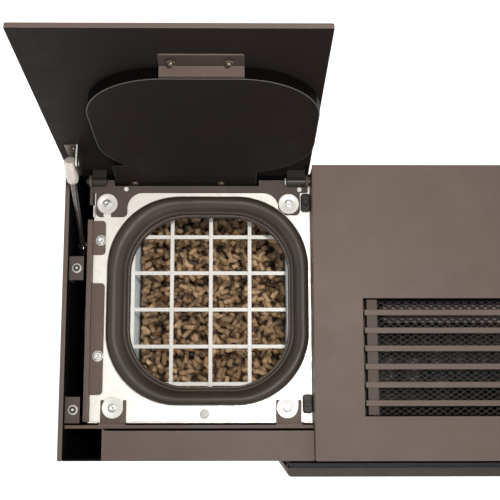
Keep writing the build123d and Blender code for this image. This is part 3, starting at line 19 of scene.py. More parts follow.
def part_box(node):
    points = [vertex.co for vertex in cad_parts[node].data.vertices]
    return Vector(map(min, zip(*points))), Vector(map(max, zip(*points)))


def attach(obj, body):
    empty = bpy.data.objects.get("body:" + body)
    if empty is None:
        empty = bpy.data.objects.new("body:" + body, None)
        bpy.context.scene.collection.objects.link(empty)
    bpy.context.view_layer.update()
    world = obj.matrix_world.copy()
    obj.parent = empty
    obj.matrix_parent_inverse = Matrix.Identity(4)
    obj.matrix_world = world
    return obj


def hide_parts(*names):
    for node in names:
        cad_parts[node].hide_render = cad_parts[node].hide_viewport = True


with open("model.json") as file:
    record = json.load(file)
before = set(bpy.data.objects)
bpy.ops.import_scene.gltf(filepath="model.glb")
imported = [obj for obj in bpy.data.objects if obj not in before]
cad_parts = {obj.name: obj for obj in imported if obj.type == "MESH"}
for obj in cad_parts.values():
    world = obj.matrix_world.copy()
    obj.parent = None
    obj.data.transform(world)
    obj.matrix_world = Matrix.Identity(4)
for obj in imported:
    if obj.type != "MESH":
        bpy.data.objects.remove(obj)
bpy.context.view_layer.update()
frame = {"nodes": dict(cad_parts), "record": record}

scene = bpy.context.scene
body_of = {node: body for body, members in frame["record"]["behaviour"]["bodies"].items()
    for node in members}

# %% [markdown]
# ## Places
# Sizes on the stove are easiest to think of from its front left corner, in millimetres: x to the
# right, y to the rear, z up from the floor. Blender works in metres from the middle of the
# footprint. One small function turns the first into the second, so later cells speak in the stove's
# own terms.

# %% Stove millimetres to metres
ORIGIN_X, ORIGIN_Y = 465.0, 162.0
WIDTH, TOP = 930.0, 1120.0
DECK = TOP - 28.0


def at(x, y, z):
    """A point of the stove, as Blender wants it."""
    return Vector(((x - ORIGIN_X) / 1000, (y - ORIGIN_Y) / 1000, z / 1000))


def from_metres(point):
    """The way back, to stove millimetres."""
    return Vector((point[0] * 1000 + ORIGIN_X, point[1] * 1000 + ORIGIN_Y, point[2] * 1000))


def mm(value):
    """A length in millimetres, as Blender wants it."""
    return value / 1000


def put(name, data):
    """A new object in the scene."""
    made = bpy.data.objects.new(name, data)
    scene.collection.objects.link(made)
    return made


print("top panel's front left corner", tuple(round(v, 4) for v in at(255, 0, TOP)))

# %% [markdown]
# ## Camera
# The photograph looks down into the hopper from about a metre above the lid's hinge, tilted a
# little to the rear. The camera is built from three directions, right, ahead and up, because
# turning those is easier to read than angles. The Standard view transform shows a colour as it is
# written.

# %% Camera above the hopper
TILT, TURN, ROLL = 0.16569, -0.01016, 0.00037
CAMERA_AT, LENS = (-0.28383, -0.10931, 2.06334), 67.62


def turned_pair(first, second, angle):
    """Two directions turned together."""
    return (first * math.cos(angle) + second * math.sin(angle),
        second * math.cos(angle) - first * math.sin(angle))


right = Vector((1, 0, 0))
ahead = Vector((0, math.sin(TILT), -math.cos(TILT)))
up = right.cross(ahead)
right, ahead = turned_pair(right, ahead, TURN)
right, up = turned_pair(right, up, ROLL)
camera_data = bpy.data.cameras.new("camera")
camera_data.sensor_width = 36.0
camera_data.lens = LENS
camera_data.clip_end = 50.0
camera = put("camera", camera_data)
turned_frame = Matrix((right, up, -ahead)).transposed().to_4x4()
camera.matrix_world = Matrix.Translation(CAMERA_AT) @ turned_frame
scene.camera = camera
scene.view_settings.view_transform = "Standard"
print("camera", tuple(round(v, 3) for v in camera.location), "lens", camera_data.lens)

# %% [markdown]
# ## Small tools for shader trees
# A material is a tree of nodes. Linking each by hand is long, so one helper fills a node's inputs,
# one adds a node, and the rest make the steps that most trees need: mix two colours, stretch a
# value, do one sum, or read a noise.

# %% Helpers for node trees
def fill(tree, node, sockets):
    """Each input is linked to another node's socket or set to a value."""
    for socket, value in sockets.items():
        if isinstance(value, bpy.types.NodeSocket):
            tree.links.new(value, node.inputs[socket])
        else:
            node.inputs[socket].default_value = value


def add(tree, kind, sockets=None, **settings):
    """A node with its settings and its inputs."""
    made = tree.nodes.new(kind)
    for key, value in settings.items():
        setattr(made, key, value)
    fill(tree, made, sockets or {})
    return made


def mixed(tree, factor, first, second):
    """Two colours mixed by a factor."""
    return add(tree, "ShaderNodeMix", {0: factor, 6: first, 7: second}, data_type="RGBA").outputs[2]


def ranged(tree, value, from_low, from_high, low=0.0, high=1.0):
    """A value stretched from one range to another."""
    sockets = {"Value": value, "From Min": from_low, "From Max": from_high, "To Min": low, "To Max": high}
    return add(tree, "ShaderNodeMapRange", sockets).outputs["Result"]


def sum_of(tree, operation, first, second=0.0):
    """One step of arithmetic."""
    return add(tree, "ShaderNodeMath", {0: first, 1: second}, operation=operation).outputs[0]


def vector_sum(tree, operation, first, second):
    """One step of arithmetic on vectors or colours."""
    return add(tree, "ShaderNodeVectorMath", {0: first, 1: second}, operation=operation).outputs[0]


def own_place(tree):
    """Places measured on the piece itself."""
    return add(tree, "ShaderNodeTexCoord").outputs["Object"]


def noise_at(tree, where, scale, detail, roughness=0.5, distortion=0.0):
    """The value of a noise."""
    return add(tree, "ShaderNodeTexNoise", {"Vector": where, "Scale": scale, "Detail": detail,
        "Roughness": roughness, "Distortion": distortion}).outputs[0]


def bumped(tree, height, strength, distance=0.0001):
    """A normal that makes a height show."""
    sockets = {"Height": height, "Strength": strength, "Distance": distance}
    return add(tree, "ShaderNodeBump", sockets).outputs[0]


def rgba(colour):
    return (*colour[:3], 1.0)


print("node helpers ready")

# %% Helpers for groups and materials
def new_group(name, inputs, outputs):
    """An empty shader group with named inputs and outputs."""
    group = bpy.data.node_groups.new(name, "ShaderNodeTree")
    for title, value in inputs.items():
        kind = "NodeSocketVector" if isinstance(value, tuple) else "NodeSocketFloat"
        group.interface.new_socket(name=title, in_out="INPUT", socket_type=kind).default_value = value
    for title in outputs:
        group.interface.new_socket(name=title, in_out="OUTPUT", socket_type="NodeSocketFloat")
    return group, add(group, "NodeGroupInput"), add(group, "NodeGroupOutput")


def place_group(tree, group, **values):
    """The outputs of a group placed in a material, with the material's own values."""
    sockets = {key.replace("_", " "): value for key, value in values.items()}
    return add(tree, "ShaderNodeGroup", sockets, node_tree=group).outputs


def new_material(name):
    """A material, its tree and its shader."""
    material = bpy.data.materials.new(name)
    material.use_nodes = True
    return material, material.node_tree, material.node_tree.nodes["Principled BSDF"]


print("group and material helpers ready")

# %% [markdown]
# ## Effects that several finishes share
# Powder coat has a fine orange-peel grain and faint clouds of tone. An image could show them, but
# noise made by nodes has no seams and holds up at any distance. The grain is the height of a bump;
# the clouds shift the colour and the streaks the gloss.

# %% Group: coat grain
coat_grain, start, end = new_group("coat grain", {"Grain Scale": 900.0, "Cloud Scale": 5.0},
    ["Grain", "Cloud", "Streak"])
where = own_place(coat_grain)
fill(coat_grain, end, {"Grain": noise_at(coat_grain, where, start.outputs["Grain Scale"], 2.0, 0.55),
    "Cloud": noise_at(coat_grain, where, start.outputs["Cloud Scale"], 3.0),
    "Streak": noise_at(coat_grain, where, 38.0, 6.0, 0.7, 1.2)})
print(coat_grain.name, [item.name for item in coat_grain.interface.items_tree])

# %% [markdown]
# Edges lose their coat first. The bevel node gives the normal that a rounded surface would have.
# Where it differs from the true normal there is an edge, and noise breaks the line up, because real
# wear is never even.

# %% Group: edge wear
edge_wear, start, end = new_group("edge wear", {"Radius": 0.0009, "Amount": 0.5}, ["Mask"])
rounded_normal = add(edge_wear, "ShaderNodeBevel", {"Radius": start.outputs["Radius"]}, samples=4)
true_normal = add(edge_wear, "ShaderNodeNewGeometry").outputs["Normal"]
same = add(edge_wear, "ShaderNodeVectorMath", {0: rounded_normal.outputs[0], 1: true_normal},
    operation="DOT_PRODUCT").outputs["Value"]
edge = ranged(edge_wear, same, 0.99, 0.80)
broken = ranged(edge_wear, noise_at(edge_wear, own_place(edge_wear), 140.0, 5.0, 0.7), 0.38, 0.66)
mask = sum_of(edge_wear, "MULTIPLY", edge, broken)
fill(edge_wear, end, {"Mask": sum_of(edge_wear, "MULTIPLY", mask, start.outputs["Amount"])})
print(edge_wear.name, "built")

# %% [markdown]
# Dust settles on what faces up. The mask is the upward part of the normal, broken by two sizes of
# noise, so flat tops carry thin uneven dust and walls stay clean.

# %% Group: settled dust
settled_dust, start, end = new_group("settled dust", {"Amount": 0.2, "Scale": 30.0}, ["Mask"])
normal = add(settled_dust, "ShaderNodeNewGeometry").outputs["Normal"]
upward = add(settled_dust, "ShaderNodeSeparateXYZ", {0: normal}).outputs["Z"]
facing_up = ranged(settled_dust, upward, 0.35, 1.0)
where = own_place(settled_dust)
drift = noise_at(settled_dust, where, start.outputs["Scale"], 6.0, 0.75)
specks = add(settled_dust, "ShaderNodeTexVoronoi", {"Vector": where, "Scale": 420.0})
speck = ranged(settled_dust, specks.outputs["Distance"], 0.16, 0.05, 0.0, 0.8)
patchy = ranged(settled_dust, drift, 0.42, 0.75)
both = sum_of(settled_dust, "MAXIMUM", patchy, sum_of(settled_dust, "MULTIPLY", speck, drift))
mask = sum_of(settled_dust, "MULTIPLY", both, facing_up)
fill(settled_dust, end, {"Mask": sum_of(settled_dust, "MULTIPLY", mask, start.outputs["Amount"])})
print(settled_dust.name, "built")

# %% [markdown]
# Hot-dip galvanised sheet freezes in crystals, the spangle, each with its own tone. A Voronoi
# pattern gives one random tone per cell; a stretched noise adds the lines of the rolling mill.

# %% Group: zinc spangle
zinc_spangle, start, end = new_group("zinc spangle", {"Scale": 190.0, "Lines": (4.0, 260.0, 260.0)},
    ["Spangle", "Line", "Scratch"])
where = own_place(zinc_spangle)
warp = add(zinc_spangle, "ShaderNodeTexNoise", {"Vector": where, "Scale": 160.0, "Detail": 2.0})
bent = vector_sum(zinc_spangle, "MULTIPLY", warp.outputs["Color"], (0.006, 0.006, 0.006))
shifted = vector_sum(zinc_spangle, "ADD", where, bent)
cells = add(zinc_spangle, "ShaderNodeTexVoronoi", {"Vector": shifted, "Scale": start.outputs["Scale"]})
tone = add(zinc_spangle, "ShaderNodeSeparateColor", {0: cells.outputs["Color"]}).outputs[0]
along = vector_sum(zinc_spangle, "MULTIPLY", where, start.outputs["Lines"])
scratch = noise_at(zinc_spangle, where, 75.0, 8.0, 0.8, 3.0)
off_middle = sum_of(zinc_spangle, "ABSOLUTE", sum_of(zinc_spangle, "SUBTRACT", scratch, 0.5))
fill(zinc_spangle, end, {"Spangle": tone, "Line": noise_at(zinc_spangle, along, 3.0, 4.0, 0.7),
    "Scratch": ranged(zinc_spangle, off_middle, 0.0, 0.012, 1.0, 0.0)})
print(zinc_spangle.name, "built")

# %% [markdown]
# ## A coat of paint
# Powder coat, gloss paint, plastic and rubber differ in colour, gloss and grain but are built
# alike: two tones mixed by clouds, worn edges, a little dust, and a bump from the grain. One
# function makes them all, and each finish is one call with its own numbers.

# %% Function: coated
def dusty(tree, base, amount, colour):
    """A colour with dust on what faces up."""
    if not amount:
        return base
    mask = place_group(tree, settled_dust, Amount=amount, Scale=24.0)["Mask"]
    return mixed(tree, mask, base, rgba(colour))


def coated(name, colour, tint, rough=0.45, gloss=0.25, grain_scale=900.0, depth=0.03, worn=None,
        wear=0.0, dust=0.0, coat=0.0, soft=0.0007):
    """A painted, moulded or rubber finish."""
    material, tree, shader = new_material(name)
    texture = place_group(tree, coat_grain, Grain_Scale=grain_scale, Cloud_Scale=5.0)
    base = mixed(tree, ranged(tree, texture["Cloud"], 0.3, 0.7), rgba(colour), rgba(tint))
    base = vector_sum(tree, "MULTIPLY", base, ranged(tree, texture["Grain"], 0.3, 0.7, 0.90, 1.08))
    if worn:
        mask = place_group(tree, edge_wear, Radius=soft, Amount=wear)["Mask"]
        base = mixed(tree, mask, base, rgba(worn))
    fill(tree, shader, {
        "Base Color": dusty(tree, base, dust, (0.42, 0.37, 0.31)),
        "Roughness": ranged(tree, texture["Streak"], 0.3, 0.7, rough - 0.05, rough + 0.07),
        "Normal": bumped(tree, texture["Grain"], depth * 10),
        "Specular IOR Level": gloss, "Coat Weight": coat, "Coat Roughness": 0.08})
    return material


print("coated ready")

# %% Coats of the casing
POWDER, SATIN = (850.0, 0.05), (700.0, 0.05)
NEAR_BLACK = ((0.0150, 0.0105, 0.0080), (0.0120, 0.0088, 0.0070), 0.55, 0.07, *SATIN)
taupe = coated("taupe powder coat", (0.162, 0.120, 0.098), (0.136, 0.099, 0.084), 0.48, 0.16, *POWDER,
    worn=(0.40, 0.35, 0.31), wear=0.55, dust=0.06)
# The next two coats are darker copies of the taupe: painted shade for pieces set lower in the casing and
# for faces turned away from the light.
taupe_painted_shade = coated("taupe powder coat, painted shade", (0.112, 0.085, 0.074), (0.095, 0.072, 0.063), 0.52,
    0.14, *POWDER, worn=(0.32, 0.28, 0.25), wear=0.45, dust=0.05)
taupe_dim = coated("taupe powder coat, in shade", (0.066, 0.048, 0.040), (0.054, 0.040, 0.034), 0.55,
    0.12, *POWDER, worn=(0.24, 0.21, 0.19), wear=0.40)
door_coat = coated("brown-black door coat", (0.064, 0.049, 0.041), (0.053, 0.041, 0.035), 0.5, 0.15,
    *POWDER, worn=(0.30, 0.27, 0.24), wear=0.45, dust=0.05)
night_coat = coated("near-black satin coat", *NEAR_BLACK, worn=(0.11, 0.10, 0.09), wear=0.45)
# A near-black coat that paints the shade on faces down in narrow gaps and wells.
cavity_painted_shade = coated("near-black painted shade in gaps", (0.0062, 0.0055, 0.0048), (0.0050, 0.0045, 0.0040), 0.7,
    0.04, *SATIN)
tube_black = coated("satin hinge tube", (0.034, 0.028, 0.024), (0.027, 0.022, 0.019), 0.34, 0.30,
    *SATIN, worn=(0.20, 0.18, 0.16), wear=0.5)
white_coat = coated("white bar coat", (0.94, 0.91, 0.855), (0.90, 0.87, 0.815), 0.42, 0.4, 500.0, 0.03,
    worn=(0.60, 0.57, 0.53), wear=0.20)
print("coats", [m.name for m in (taupe, taupe_painted_shade, taupe_dim, door_coat, night_coat, white_coat)])

# %% Paint and plastic
strut_paint = coated("gloss black paint", (0.010, 0.010, 0.011), (0.007, 0.007, 0.008), 0.18, 0.5,
    600.0, 0.01, worn=(0.25, 0.25, 0.25), wear=0.2, dust=0.05, coat=0.5)
black_plastic = coated("black moulded plastic", (0.024, 0.0195, 0.0165), (0.017, 0.014, 0.012), 0.42,
    0.22, 1500.0, 0.08, worn=(0.07, 0.07, 0.07), wear=0.3, dust=0.05)
panel_black = coated("gloss black panel", (0.006, 0.006, 0.007), (0.004, 0.004, 0.005), 0.07, 0.5,
    200.0, 0.004, dust=0.04, coat=0.7)
board_green = coated("circuit board", (0.015, 0.105, 0.045), (0.010, 0.080, 0.035), 0.3, 0.4, 900.0,
    0.02, worn=(0.35, 0.28, 0.12), wear=0.4)
mark_white = coated("pale touch marks", (0.62, 0.64, 0.66), (0.55, 0.57, 0.60), 0.4, 0.3, 900.0, 0.02)
print("paint and plastic", strut_paint.name, black_plastic.name)

# %% [markdown]
# ## Bare metal
# Galvanised sheet, turned steel and die-cast zinc reflect in the metal's own colour. Their Metallic
# is 1, or less where a dull skin scatters light as paint does. The spangle group gives tone and
# roughness that change from crystal to crystal, and lines along the rolling direction.

# %% Function: bare_metal
def bare_metal(name, colour, tint, rough=0.3, spread=0.12, scale=190.0, lines=(4.0, 260.0, 260.0),
        depth=0.15, metallic=1.0, dust=0.0):
    """A bare metal finish."""
    material, tree, shader = new_material(name)
    texture = place_group(tree, zinc_spangle, Scale=scale, Lines=lines)
    base = mixed(tree, texture["Spangle"], rgba(colour), rgba(tint))
    base = mixed(tree, sum_of(tree, "MULTIPLY", texture["Scratch"], 0.35), base,
        rgba([min(1.0, c * 1.25) for c in colour]))
    uneven = sum_of(tree, "ADD", texture["Spangle"], texture["Line"])
    fill(tree, shader, {
        "Base Color": dusty(tree, base, dust, (0.40, 0.33, 0.25)),
        "Roughness": ranged(tree, uneven, 0.2, 1.6, rough - spread / 2, rough + spread),
        "Normal": bumped(tree, texture["Line"], depth), "Metallic": metallic})
    return material


EVEN = (900.0, 900.0, 900.0)
zinc_deck = bare_metal("bright galvanised sheet", (0.85, 0.815, 0.770), (0.78, 0.745, 0.700), 0.38,
    0.12, 150.0, metallic=0.35)
# The bin's zinc is a darker blue-grey copy of the deck's: painted shade.
zinc_wall = bare_metal("blue-grey galvanised wall", (0.72, 0.77, 0.80), (0.60, 0.65, 0.68), 0.46, 0.14,
    120.0, (260.0, 260.0, 4.0), 0.2, 0.25, 0.10)
zinc_inside = bare_metal("galvanised sheet, inside", (0.62, 0.62, 0.60), (0.50, 0.50, 0.49), 0.4, 0.16,
    110.0)
bright_zinc = bare_metal("plated hardware", (0.80, 0.775, 0.74), (0.77, 0.745, 0.71), 0.40, 0.05, 700.0,
    (900.0, 900.0, 30.0), 0.06, 0.2)
turned_steel = bare_metal("turned steel", (0.56, 0.55, 0.53), (0.47, 0.46, 0.45), 0.26, 0.12, 500.0,
    EVEN, 0.1)
rod_steel = bare_metal("dark strut rod", (0.17, 0.15, 0.135), (0.13, 0.115, 0.105), 0.2, 0.08, 300.0,
    (900.0, 40.0, 40.0), 0.05, 0.8)
cast_zinc = bare_metal("die-cast socket", (0.72, 0.65, 0.59), (0.65, 0.585, 0.53), 0.40, 0.08, 600.0,
    (500.0, 500.0, 60.0), 0.10, 0.3)
bronze_nut = bare_metal("bronze-grey nut", (0.17, 0.135, 0.105), (0.11, 0.088, 0.070), 0.3, 0.1, 700.0,
    EVEN, 0.1, 0.8)
blackened = bare_metal("blackened steel", (0.045, 0.041, 0.038), (0.032, 0.029, 0.027), 0.32, 0.1,
    500.0, EVEN, 0.1, 0.7)
print("metals", zinc_deck.name, zinc_wall.name, turned_steel.name)

# %% [markdown]
# ## The studio
# The photograph is lit from above on white. A small lamp over the hopper gives the pellets crisp
# shadows, and wide weak ones fill the sides. The world shows white to the camera, to reflections
# and through glass, but lights the stove with less, so colours render as they are written. The
# floor is pale and keeps the stove's shadow.

# %% World and lamps
WHITE = (1.0, 1.0, 1.0, 1.0)


def seen_by(tree, *kinds):
    """1 for rays of the named kinds and 0 for others."""
    rays = add(tree, "ShaderNodeLightPath").outputs
    seen = rays[f"Is {kinds[0]} Ray"]
    for kind in kinds[1:]:
        seen = sum_of(tree, "MAXIMUM", seen, rays[f"Is {kind} Ray"])
    return seen


def lamp(name, place, target, size, power, colour=WHITE[:3]):
    """A square soft light at a place, looking at a target."""
    data = bpy.data.lights.new(name, "AREA")
    data.size = size
    data.energy = power
    data.color = colour
    made = put(name, data)
    made.location = place
    made.rotation_euler = (Vector(target) - Vector(place)).to_track_quat("-Z", "Y").to_euler()


world = bpy.data.worlds.new("studio")
scene.world = world
world.use_nodes = True
tree = world.node_tree
tree.nodes.clear()
gentle = add(tree, "ShaderNodeBackground", {"Color": (0.98, 0.99, 1.0, 1.0), "Strength": 0.38})
plain = add(tree, "ShaderNodeBackground", {"Color": WHITE, "Strength": 1.0})
chosen = add(tree, "ShaderNodeMixShader", {0: seen_by(tree, "Camera", "Glossy", "Transmission"),
    1: gentle.outputs[0], 2: plain.outputs[0]})
add(tree, "ShaderNodeOutputWorld", {"Surface": chosen.outputs[0]})
lamp("overhead", (-0.187, 0.0, 2.08), (-0.187, 0.0, 1.1), 0.06, 5.6, (1.0, 0.975, 0.94))
for name, place, size, power in (("front fill", (0.5, -2.6, 1.7), 1.6, 17.0),
        ("left fill", (-2.6, -0.4, 1.4), 1.4, 12.0),
        ("right fill", (2.6, 0.2, 1.5), 1.4, 12.0),
        ("rear fill", (-0.3, 2.7, 1.6), 1.6, 14.0)):
    lamp(name, place, (0, 0, 0.6), size, power)

# %% Floor
floor_material, tree, shader = new_material("pale floor")
texture = place_group(tree, coat_grain, Grain_Scale=260.0, Cloud_Scale=1.5)
fill(tree, shader, {
    "Base Color": mixed(tree, texture["Cloud"], rgba((0.80, 0.80, 0.80)), rgba((0.84, 0.84, 0.84))),
    "Roughness": 0.8, "Specular IOR Level": 0.1})
shine = sum_of(tree, "MULTIPLY", seen_by(tree, "Camera", "Glossy"), 0.84)
glow = add(tree, "ShaderNodeEmission", {"Color": WHITE, "Strength": shine})
both = add(tree, "ShaderNodeAddShader", {0: shader.outputs[0], 1: glow.outputs[0]})
fill(tree, tree.nodes["Material Output"], {"Surface": both.outputs[0]})
floor_mesh = bpy.data.meshes.new("floor")
floor_mesh.from_pydata([(-9, -9, 0), (9, -9, 0), (9, 9, 0), (-9, 9, 0)], [], [(0, 1, 2, 3)])
floor_mesh.materials.append(floor_material)
floor = put("floor", floor_mesh)
print("floor faces", len(floor_mesh.polygons))

# %% [markdown]
# ## Dressing a sheet-metal piece
# The imported pieces have the right shape but razor edges, which catch no light. Most get a dressed copy
# that stands for the CAD node: flat triangles are joined to larger faces, and a bevel modifier rounds the
# edges by about half a millimetre, as on real folded sheet. Where a sheet is coated differently inside, or
# some of its faces get painted shade or a painted highlight, a rule picks the faces.

# %% Function: dress
def dress(node, coat, edge=0.5, inside=None, rule=None, segments=2):
    """A copy of a CAD node with rounded edges, which stands for it."""
    mesh = frame["nodes"][node].data.copy()
    for old in [a for a in mesh.attributes if a.name == "custom_normal"]:
        mesh.attributes.remove(old)
    mesh.materials.clear()
    for material in filter(None, (coat, inside)):
        mesh.materials.append(material)
    bm = bmesh.new()
    bm.from_mesh(mesh)
    bmesh.ops.remove_doubles(bm, verts=bm.verts, dist=0.00002)
    for face in bm.faces:
        face.smooth = True
        picked = rule and rule(from_metres(face.calc_center_median()), face.normal)
        face.material_index = 1 if picked else 0
    bmesh.ops.dissolve_limit(bm, angle_limit=0.012, verts=bm.verts, edges=bm.edges, delimit={"MATERIAL"})
    bm.to_mesh(mesh)
    bm.free()
    piece = put(node + "_dressed", mesh)
    if edge:
        bevel = piece.modifiers.new("rounded edges", "BEVEL")
        bevel.width = mm(edge)
        bevel.segments = segments
        bevel.limit_method = "ANGLE"
        bevel.angle_limit = math.radians(32)
        bevel.use_clamp_overlap = True
        bevel.harden_normals = True
    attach(piece, body_of[node])
    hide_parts(node)
    return piece


def carry(nodes, material):
    """CAD nodes that keep their own shape and get a better finish."""
    for node in nodes.split():
        data = frame["nodes"][node].data
        data.materials.clear()
        data.materials.append(material)


def dress_all(coat, **edges):
    """Several nodes in one coat, each with its own edge radius."""
    for node, edge in edges.items():
        dress(node, coat, edge)


print("dress, carry and dress_all ready")

# %% [markdown]
# ## New pieces
# A new piece rides on a body, gets its materials, and may stand for a CAD node; one helper does all three.
# Washers, screws and sockets are turned: rings of points at growing heights, where a ring may have corners,
# which makes a hexagon socket. Swept pieces such as the gasket are joined ring by ring in the same way.

# %% Functions: new_piece and turned
def new_piece(name, bm, materials, body, node=None, sharp=38.0):
    """A bmesh made into a piece that rides on a body."""
    mesh = bpy.data.meshes.new(name)
    bmesh.ops.recalc_face_normals(bm, faces=bm.faces)
    bm.to_mesh(mesh)
    bm.free()
    mesh.shade_smooth()
    mesh.set_sharp_from_angle(angle=math.radians(sharp))
    for material in materials:
        mesh.materials.append(material)
    piece = put(name, mesh)
    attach(piece, body)
    if node:
        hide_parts(node)
    return piece


def join_rings(bm, loops):
    """The faces between each ring of points and the next."""
    faces = []
    for low, high in zip(loops, loops[1:]):
        for i in range(len(low)):
            j = (i + 1) % len(low)
            faces.append(bm.faces.new((low[i], low[j], high[j], high[i])))
    return faces


def turned(bm, rings, place, sides=36, material=0):
    """Rings of radius, height and maybe corners, in millimetres, along the place's z axis."""
    loops = []
    for radius, height, *corners in rings:
        loop = []
        for i in range(sides):
            angle = math.tau * i / sides
            reach = radius
            if corners:
                step = math.tau / corners[0]
                reach = radius * math.cos(step / 2) / math.cos(angle % step - step / 2)
            spot = Vector((reach * math.cos(angle), reach * math.sin(angle), height)) / 1000
            loop.append(bm.verts.new(place @ spot))
        loops.append(loop)
    faces = [bm.faces.new(reversed(loops[0])), bm.faces.new(loops[-1])]
    for face in faces + join_rings(bm, loops):
        face.material_index = material


def standing(x, y, z):
    """A place whose z axis points up."""
    return Matrix.Translation(at(x, y, z))


def pointing(x, y, z, direction, spin=0.0):
    """A place whose z axis points in a direction."""
    turn = Vector(direction).to_track_quat("Z", "Y").to_matrix().to_4x4()
    return Matrix.Translation(at(x, y, z)) @ turn @ Matrix.Rotation(spin, 4, "Z")


def block(bm, low, high, bevel=0.0, material=0, place=None):
    """A box between two points of the stove in millimetres, with rounded edges."""
    made = bmesh.ops.create_cube(bm, size=1.0)["verts"]
    a, b = Vector(low), Vector(high)
    for vert in made:
        spot = Vector((a[i] + (vert.co[i] + 0.5) * (b[i] - a[i]) for i in range(3)))
        vert.co = place @ (spot / 1000) if place else at(*spot)
    faces = {face for vert in made for face in vert.link_faces}
    for face in faces:
        face.material_index = material
    if bevel:
        edges = {e for vert in made for e in vert.link_edges}
        bmesh.ops.bevel(bm, geom=list(edges), offset=mm(bevel), segments=2, profile=0.6, affect="EDGES")


print("turned ready")

# %% [markdown]
# ## The casing
# Side panels, claddings, rails and the top panel are folded sheet in one taupe powder coat. Down in the
# narrow gaps and in the well under the grille the faces get a near-black coat that paints the shade there;
# they are picked by where they are and which way they look.

# %% Casing pieces
dress("left_side_panel", taupe, 0.9, cavity_painted_shade, lambda p, n: n.x > 0.5)
dress("right_side_panel", taupe, 0.9)
dress("front_cladding_left", taupe, 0.5, cavity_painted_shade, lambda p, n: n.x < -0.5 or n.y > 0.5 or n.z < -0.5)
dress_all(taupe, front_cladding_right=0.4, lower_front_panel=0.8)
dress("front_frame", night_coat, 0.4, cavity_painted_shade, lambda p, n: n.y > 0.5)
dress("top_panel", taupe, 0.6, cavity_painted_shade,
    lambda p, n: p.z < TOP - 3.2 and 270 < p.x < 660 and 20 < p.y < 200)
dress("rear_panel", night_coat, 0.3)
dress("front_rail", taupe, 0.4, cavity_painted_shade, lambda p, n: n.y < -0.5 and p.z < TOP - 17)
dress("left_rail", taupe, 0.35, cavity_painted_shade, lambda p, n: n.x < -0.5 and p.z < TOP - 30)
# The hinge cross-member and the cavity brackets get the darker taupe copy, painted shade.
dress_all(taupe_painted_shade, hinge_crossmember=0.4, cavity_brackets=0.4)
carry("base_plate", night_coat)
# The inner frame's top under the grille gets a pale taupe that paints the light seen through the grille's
# rear slots.
deflector_coat = coated("deflector coat, painted light", (0.40, 0.315, 0.26), (0.34, 0.265, 0.22), 0.5, 0.2,
    *POWDER, worn=(0.5, 0.45, 0.4), wear=0.4)
dress("inner_frame", zinc_inside, 0.0, deflector_coat, lambda p, n: p.z > TOP - 60 and 300 < p.x < 640)
print("casing dressed")

# %% [markdown]
# ## The hopper's sheet metal
# The deck around the opening is galvanised sheet, so bright in the photograph that it is nearly white. The
# bin below is the same metal, given a darker blue-grey as painted shade, with visible crystals; the deck's
# faces down in the hole get the same. The deck gets rounded edges because they show; the bin keeps its own.

# %% Deck and bin
# Faces down in the hole take the blue-grey zinc, painted shade.
dress("hopper_deck", zinc_deck, 0.35, zinc_wall,
    lambda p, n: p.z < DECK - 1.2 and 55 < p.x < 242 and 60 < p.y < 262)
dress("hopper_bin", zinc_wall, 0.0)
pale_bumper = coated("pale bumper", (0.66, 0.65, 0.60), (0.58, 0.57, 0.53), 0.35, 0.4, 300.0, 0.02)
dress("lid_bumper", pale_bumper, 0.0)
dress("panel_clips", black_plastic, 0.3)
print("hopper sheet dressed")

# %% [markdown]
# ## Gasket
# A hollow rubber bulb seals the hopper. Its section changes little, so it is swept: at each station
# of the outline the same profile runs from the outer edge over the crest and a groove to the thin
# lip, whose skirt hangs over the deck's edge. A ring pulled round tight corners never lies even, so
# slow noise moves crest and lip. Small beads are the lip's sewn edge.

# %% Outline of a rounded rectangle
def outline(box, radius, per_side, per_corner):
    """Points, in millimetres, on a rectangle x0, x1, y0, y1 with round corners."""
    x0, x1, y0, y1 = box
    centres = [(x1 - radius, y0 + radius, -90), (x1 - radius, y1 - radius, 0),
        (x0 + radius, y1 - radius, 90), (x0 + radius, y0 + radius, 180)]
    points = []
    for i, (cx, cy, first) in enumerate(centres):
        for k in range(per_corner + 1):
            angle = math.radians(first + 90 * k / per_corner)
            points.append(Vector((cx + radius * math.cos(angle), cy + radius * math.sin(angle), 0)))
        nx, ny, turn = centres[(i + 1) % 4]
        angle = math.radians(turn)
        goal = Vector((nx + radius * math.cos(angle), ny + radius * math.sin(angle), 0))
        here = points[-1]
        points += [here.lerp(goal, k / per_side) for k in range(1, per_side)]
    return points


GASKET_OUT = outline((42.5, 252.0, 54.3, 271.7), 75.0, 16, 26)
GASKET_IN = outline((66.9, 230.8, 73.3, 249.5), 60.5, 16, 26)
print("gasket stations", len(GASKET_OUT))

# %% Rubber finish
rubber = coated("satin gasket rubber", (0.050, 0.036, 0.027), (0.039, 0.028, 0.0215), 0.42, 0.30,
    600.0, 0.04,
    None, 0.0, 0.03)
thread = coated("light edge thread", (0.30, 0.27, 0.24), (0.22, 0.20, 0.18), 0.5, 0.3, 900.0, 0.05)
print(rubber.name, thread.name)

# %% Sweep the bulb and its lip
PROFILE = [
    (0.0, 0.1), (0.002, 2.6), (0.015, 5.2), (0.05, 7.7), (0.11, 9.7), (0.19, 10.9), (0.28, 11.35),
    (0.38, 11.15), (0.48, 10.3), (0.57, 8.8), (0.64, 6.9), (0.69, 5.1), (0.725, 3.7), (0.76, 2.8),
    (0.80, 2.6), (0.85, 3.1), (0.90, 3.9), (0.945, 4.2), (0.975, 3.8), (0.994, 2.7), (1.0, 0.6),
    (1.0, -2.4), (0.956, -2.4), (0.956, 0.06), (0.5, 0.05)]


